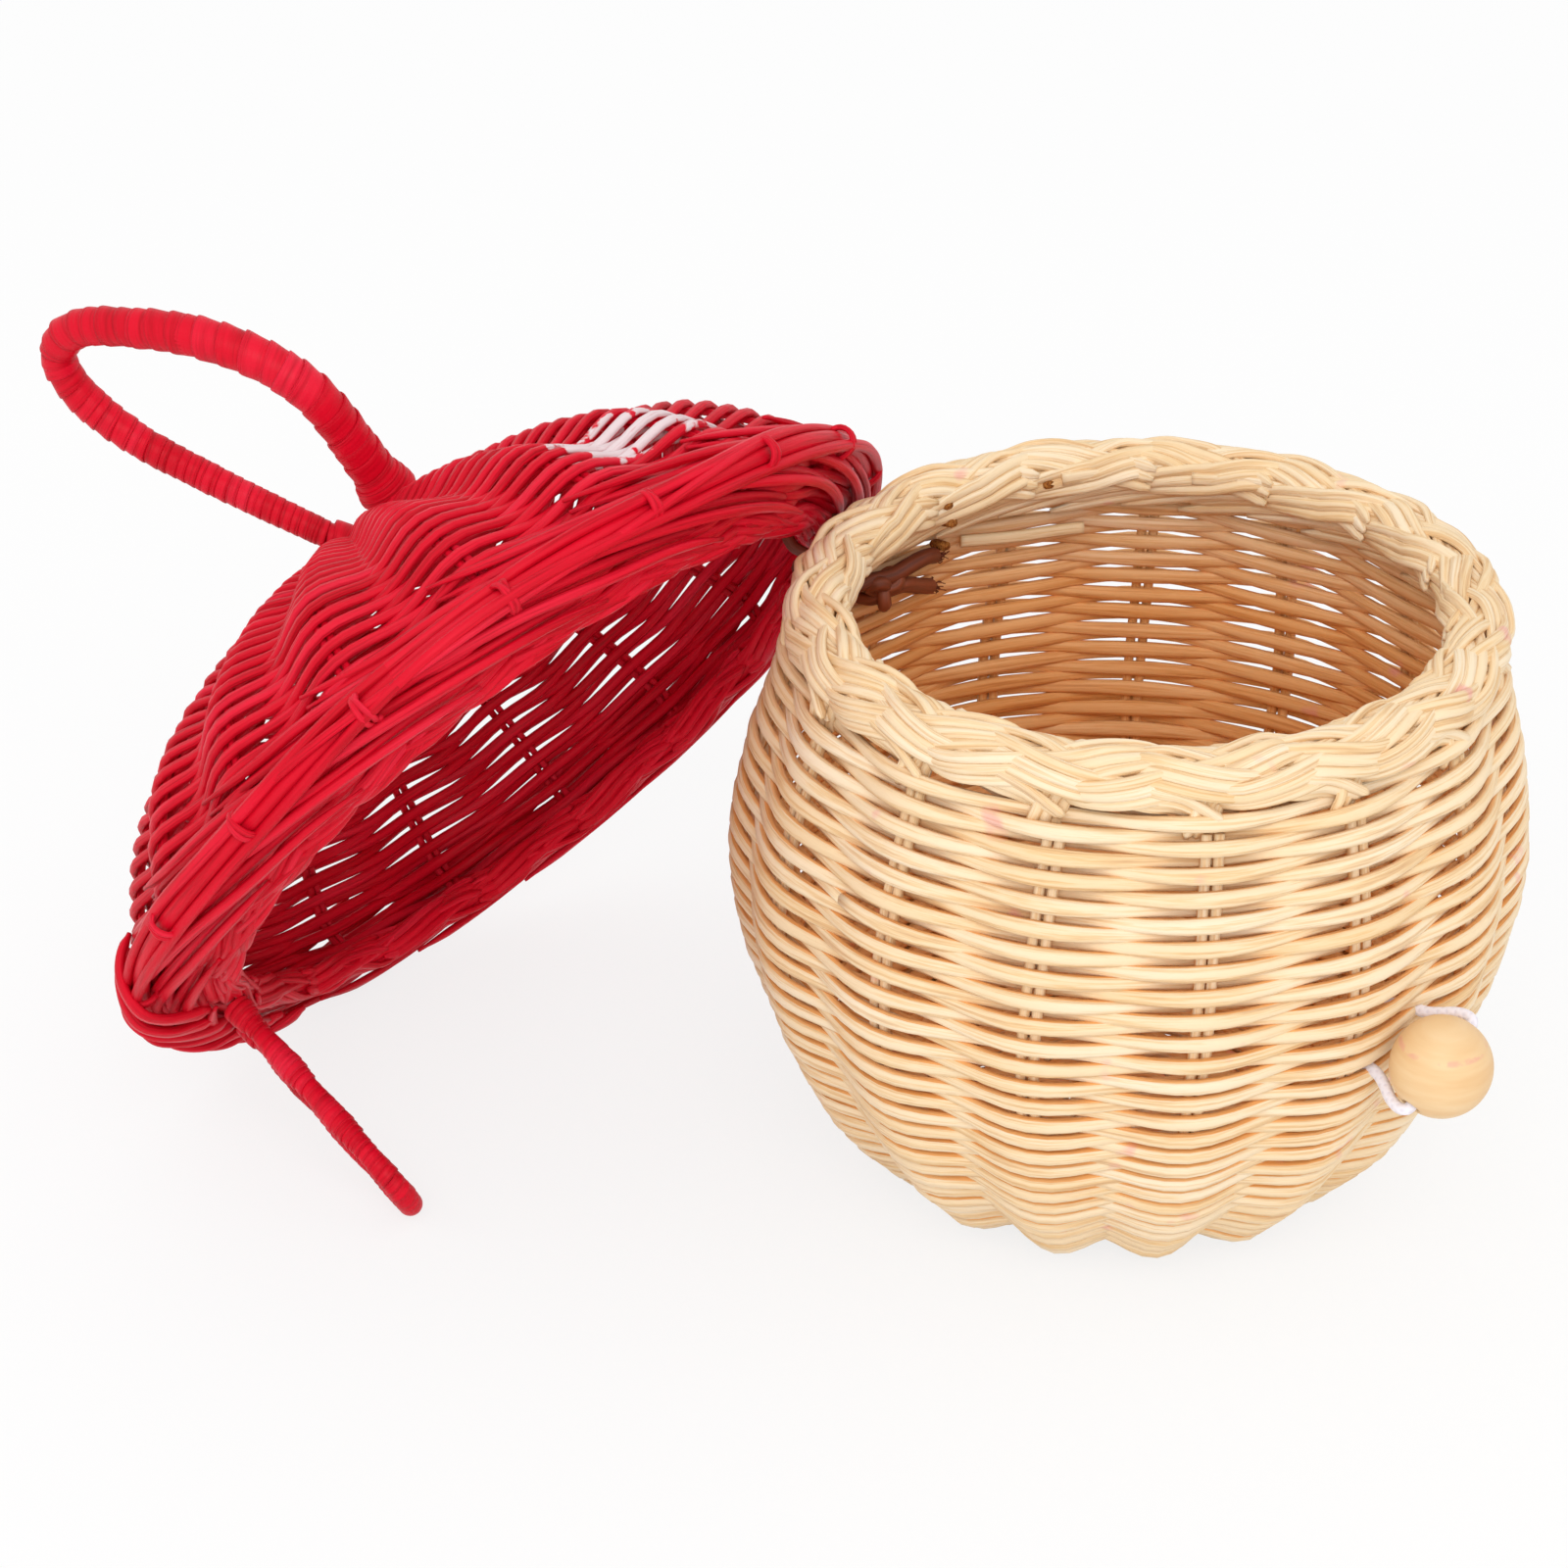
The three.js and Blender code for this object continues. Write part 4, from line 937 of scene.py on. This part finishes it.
tie = {
    "radius": 1.2, "endRadius": 1.65, "firstNormal": (0.3, 0.2, 1),
    "inside": [(9.2, 60.3, 103.4), (5.2, 59.3, 104.9), (0.6, 59, 104.9), (-4.2, 59.4, 104), (-9, 60, 104.6),
               (-13.4, 59.8, 104.7), (-15.9, 63, 104.5), (-16.8, 67.2, 104.5), (-18.6, 71.6, 106)],
    "round": [(-18.6, 71.6, 106), (-17.3, 69.5, 109.2), (-18.2, 72.1, 110.6), (-18, 74.2, 112.8),
              (-16.4, 74.6, 115.2), (-14.2, 73.6, 116.9), (-12.2, 71.3, 117.4), (-11.7, 69.1, 116.2),
              (-11.6, 66.8, 114.6), (-13.3, 66, 112.4), (-12.2, 69.8, 107.5)],
    "back": [(-12.2, 69.8, 107.5), (-10.5, 71.6, 102), (-9.4, 72.2, 99.6), (-8.7, 70.4, 98.7),
             (-8.2, 66.8, 98.6), (-7.5, 61.6, 99.2), (-5, 59.6, 101), (-0.6, 59.4, 100.8), (4.4, 60.4, 98.4),
             (9.4, 61.2, 96.2)],
    "loose": [(20.6, 79.5, 58.8), (19.9, 77, 60.2), (19.1, 73.9, 60.6), (18, 69.6, 60.6), (17.2, 66.6, 61.4),
              (16.9, 65.8, 63.4)],
    "knot": (-6, 59.5, 102), "knotReach": 1.6, "knotLobe": 1.2, "knotDepth": 1.12,
    "knotWidth": 2.9, "knotThick": 2.5,
    "frays": 36, "frayLength": 2.2, "frayThick": 0.26, "fraySpread": 0.6, "frayRoot": 0.8, "frayStray": 0.24,
    "frayBend": 0.15,
}
brownCord = makeBrownCord(), "brown_cord"


def tieCord(points, count, radii):
    return layCord(smoothLine(points, count), radii, tie["firstNormal"], taper=3)


def frayOf(end, before):
    # the cut end opens into single threads
    end, before = np.array(end, float), np.array(before, float)
    forward = (end - before) / np.linalg.norm(end - before)
    threads = []
    for _ in range(tie["frays"]):
        foot = end - forward * tie["frayRoot"] + draws.normal(0, tie["fraySpread"], 3)
        length = tie["frayLength"] * draws.uniform(0.4, 1)
        tip = foot + (forward + draws.normal(0, tie["frayStray"], 3)) * length
        bent = (foot + tip) / 2 + draws.normal(0, tie["frayBend"], 3)
        threads.append(layStrand(smoothLine([foot, bent, tip], 7), tie["firstNormal"], tie["frayThick"],
                                 tie["frayThick"], sides=4, boxy=1))
    return threads


def buildTies():
    thin, thick = tie["radius"], tie["endRadius"]
    cords = [tieCord(tie["inside"], 70, [thick, thick, thick, thin, thin, thin]),
             tieCord(tie["back"], 70, [thin, thin, thin, thick, thick])]
    frays = frayOf(*tie["inside"][:2]) + frayOf(tie["back"][-1], tie["back"][-2])
    addPiece("tieThroughWall", cords + frays, "pot", brownCord, "hinge_tie")
    turned = tieCord(tie["round"], 80, [thin, thin])
    addPiece("tieRoundRing", [turned], "hinge_knot", brownCord)
    loops = overhandKnot(90, tie["knotReach"], tie["knotLobe"], tie["knotDepth"]) + np.array(tie["knot"])
    knot = layKnot(loops, tie["knotWidth"], tie["knotThick"])
    addPiece("tieKnot", [knot], "hinge_knot", brownCord, "tie_knot")
    loose = tieCord(tie["loose"], 50, [thin, thin])
    addPiece("looseTie", [loose], "pot", brownCord, "loose_tie")
    print("ties laced")


# Studio, in metres: a pale floor that shows as white but keeps the shadow, one broad lamp and a soft sky

studio = {"floorSize": 30, "paper": "#F4F4F4", "lift": 0.8, "sky": 0.9, "lampPower": 12.5, "lampSize": 1.2,
          "lampPlace": (-1.05, -1.0, 1.25), "lampAim": (0, 0, 0.06)}


def showsBackdrop(tree):
    # camera, mirror and see-through rays meet the plain white backdrop
    path = addNode(tree, "LightPath", {}).outputs
    seen = addNode(tree, "Math", {0: path["Is Camera Ray"], 1: path["Is Glossy Ray"]}, operation="MAXIMUM")
    return addNode(tree, "Math", {0: seen, 1: path["Is Transmission Ray"]}, operation="MAXIMUM")


def buildStudio():
    dropSelection()
    bpy.ops.mesh.primitive_plane_add(size=studio["floorSize"])
    floor = bpy.context.object
    floor.name = "studioFloor"
    material = bpy.data.materials.new("palePaper")
    material.use_nodes = True
    tree = material.node_tree
    tree.nodes.clear()
    paper = addNode(tree, "BsdfDiffuse", {"Color": linear(studio["paper"])})
    glow = addNode(tree, "Emission", {"Color": (1, 1, 1, 1), "Strength": 1})
    share = addNode(tree, "Math", {0: showsBackdrop(tree), 1: studio["lift"]}, operation="MULTIPLY")
    both = addNode(tree, "MixShader", {0: share, 1: paper, 2: glow})
    addNode(tree, "OutputMaterial", {"Surface": both})
    floor.data.materials.append(material)
    world = bpy.data.worlds.new("studioSky")
    bpy.context.scene.world = world
    world.use_nodes = True
    tree = world.node_tree
    tree.nodes.clear()
    soft = addNode(tree, "Background", {"Color": (1, 1, 1, 1), "Strength": studio["sky"]})
    plain = addNode(tree, "Background", {"Color": (1, 1, 1, 1), "Strength": 1})
    both = addNode(tree, "MixShader", {0: showsBackdrop(tree), 1: soft, 2: plain})
    addNode(tree, "OutputWorld", {"Surface": both})
    lamp = bpy.data.lights.new("softbox", "AREA")
    lamp.energy = studio["lampPower"]
    lamp.size = studio["lampSize"]
    holder = bpy.data.objects.new("softbox", lamp)
    holder.location = studio["lampPlace"]
    holder.rotation_euler = (Vector(studio["lampAim"]) - holder.location).to_track_quat("-Z", "Y").to_euler()
    bpy.context.collection.objects.link(holder)
    bpy.context.scene.view_settings.view_transform = "Standard"
    print("studio lit")


buildPot()
buildPotRim()
buildLidDome()
buildLidUnderside()
buildLidEdge()
buildHandle()
buildTab()
buildBall()
buildElastic()
buildTies()
buildStudio()
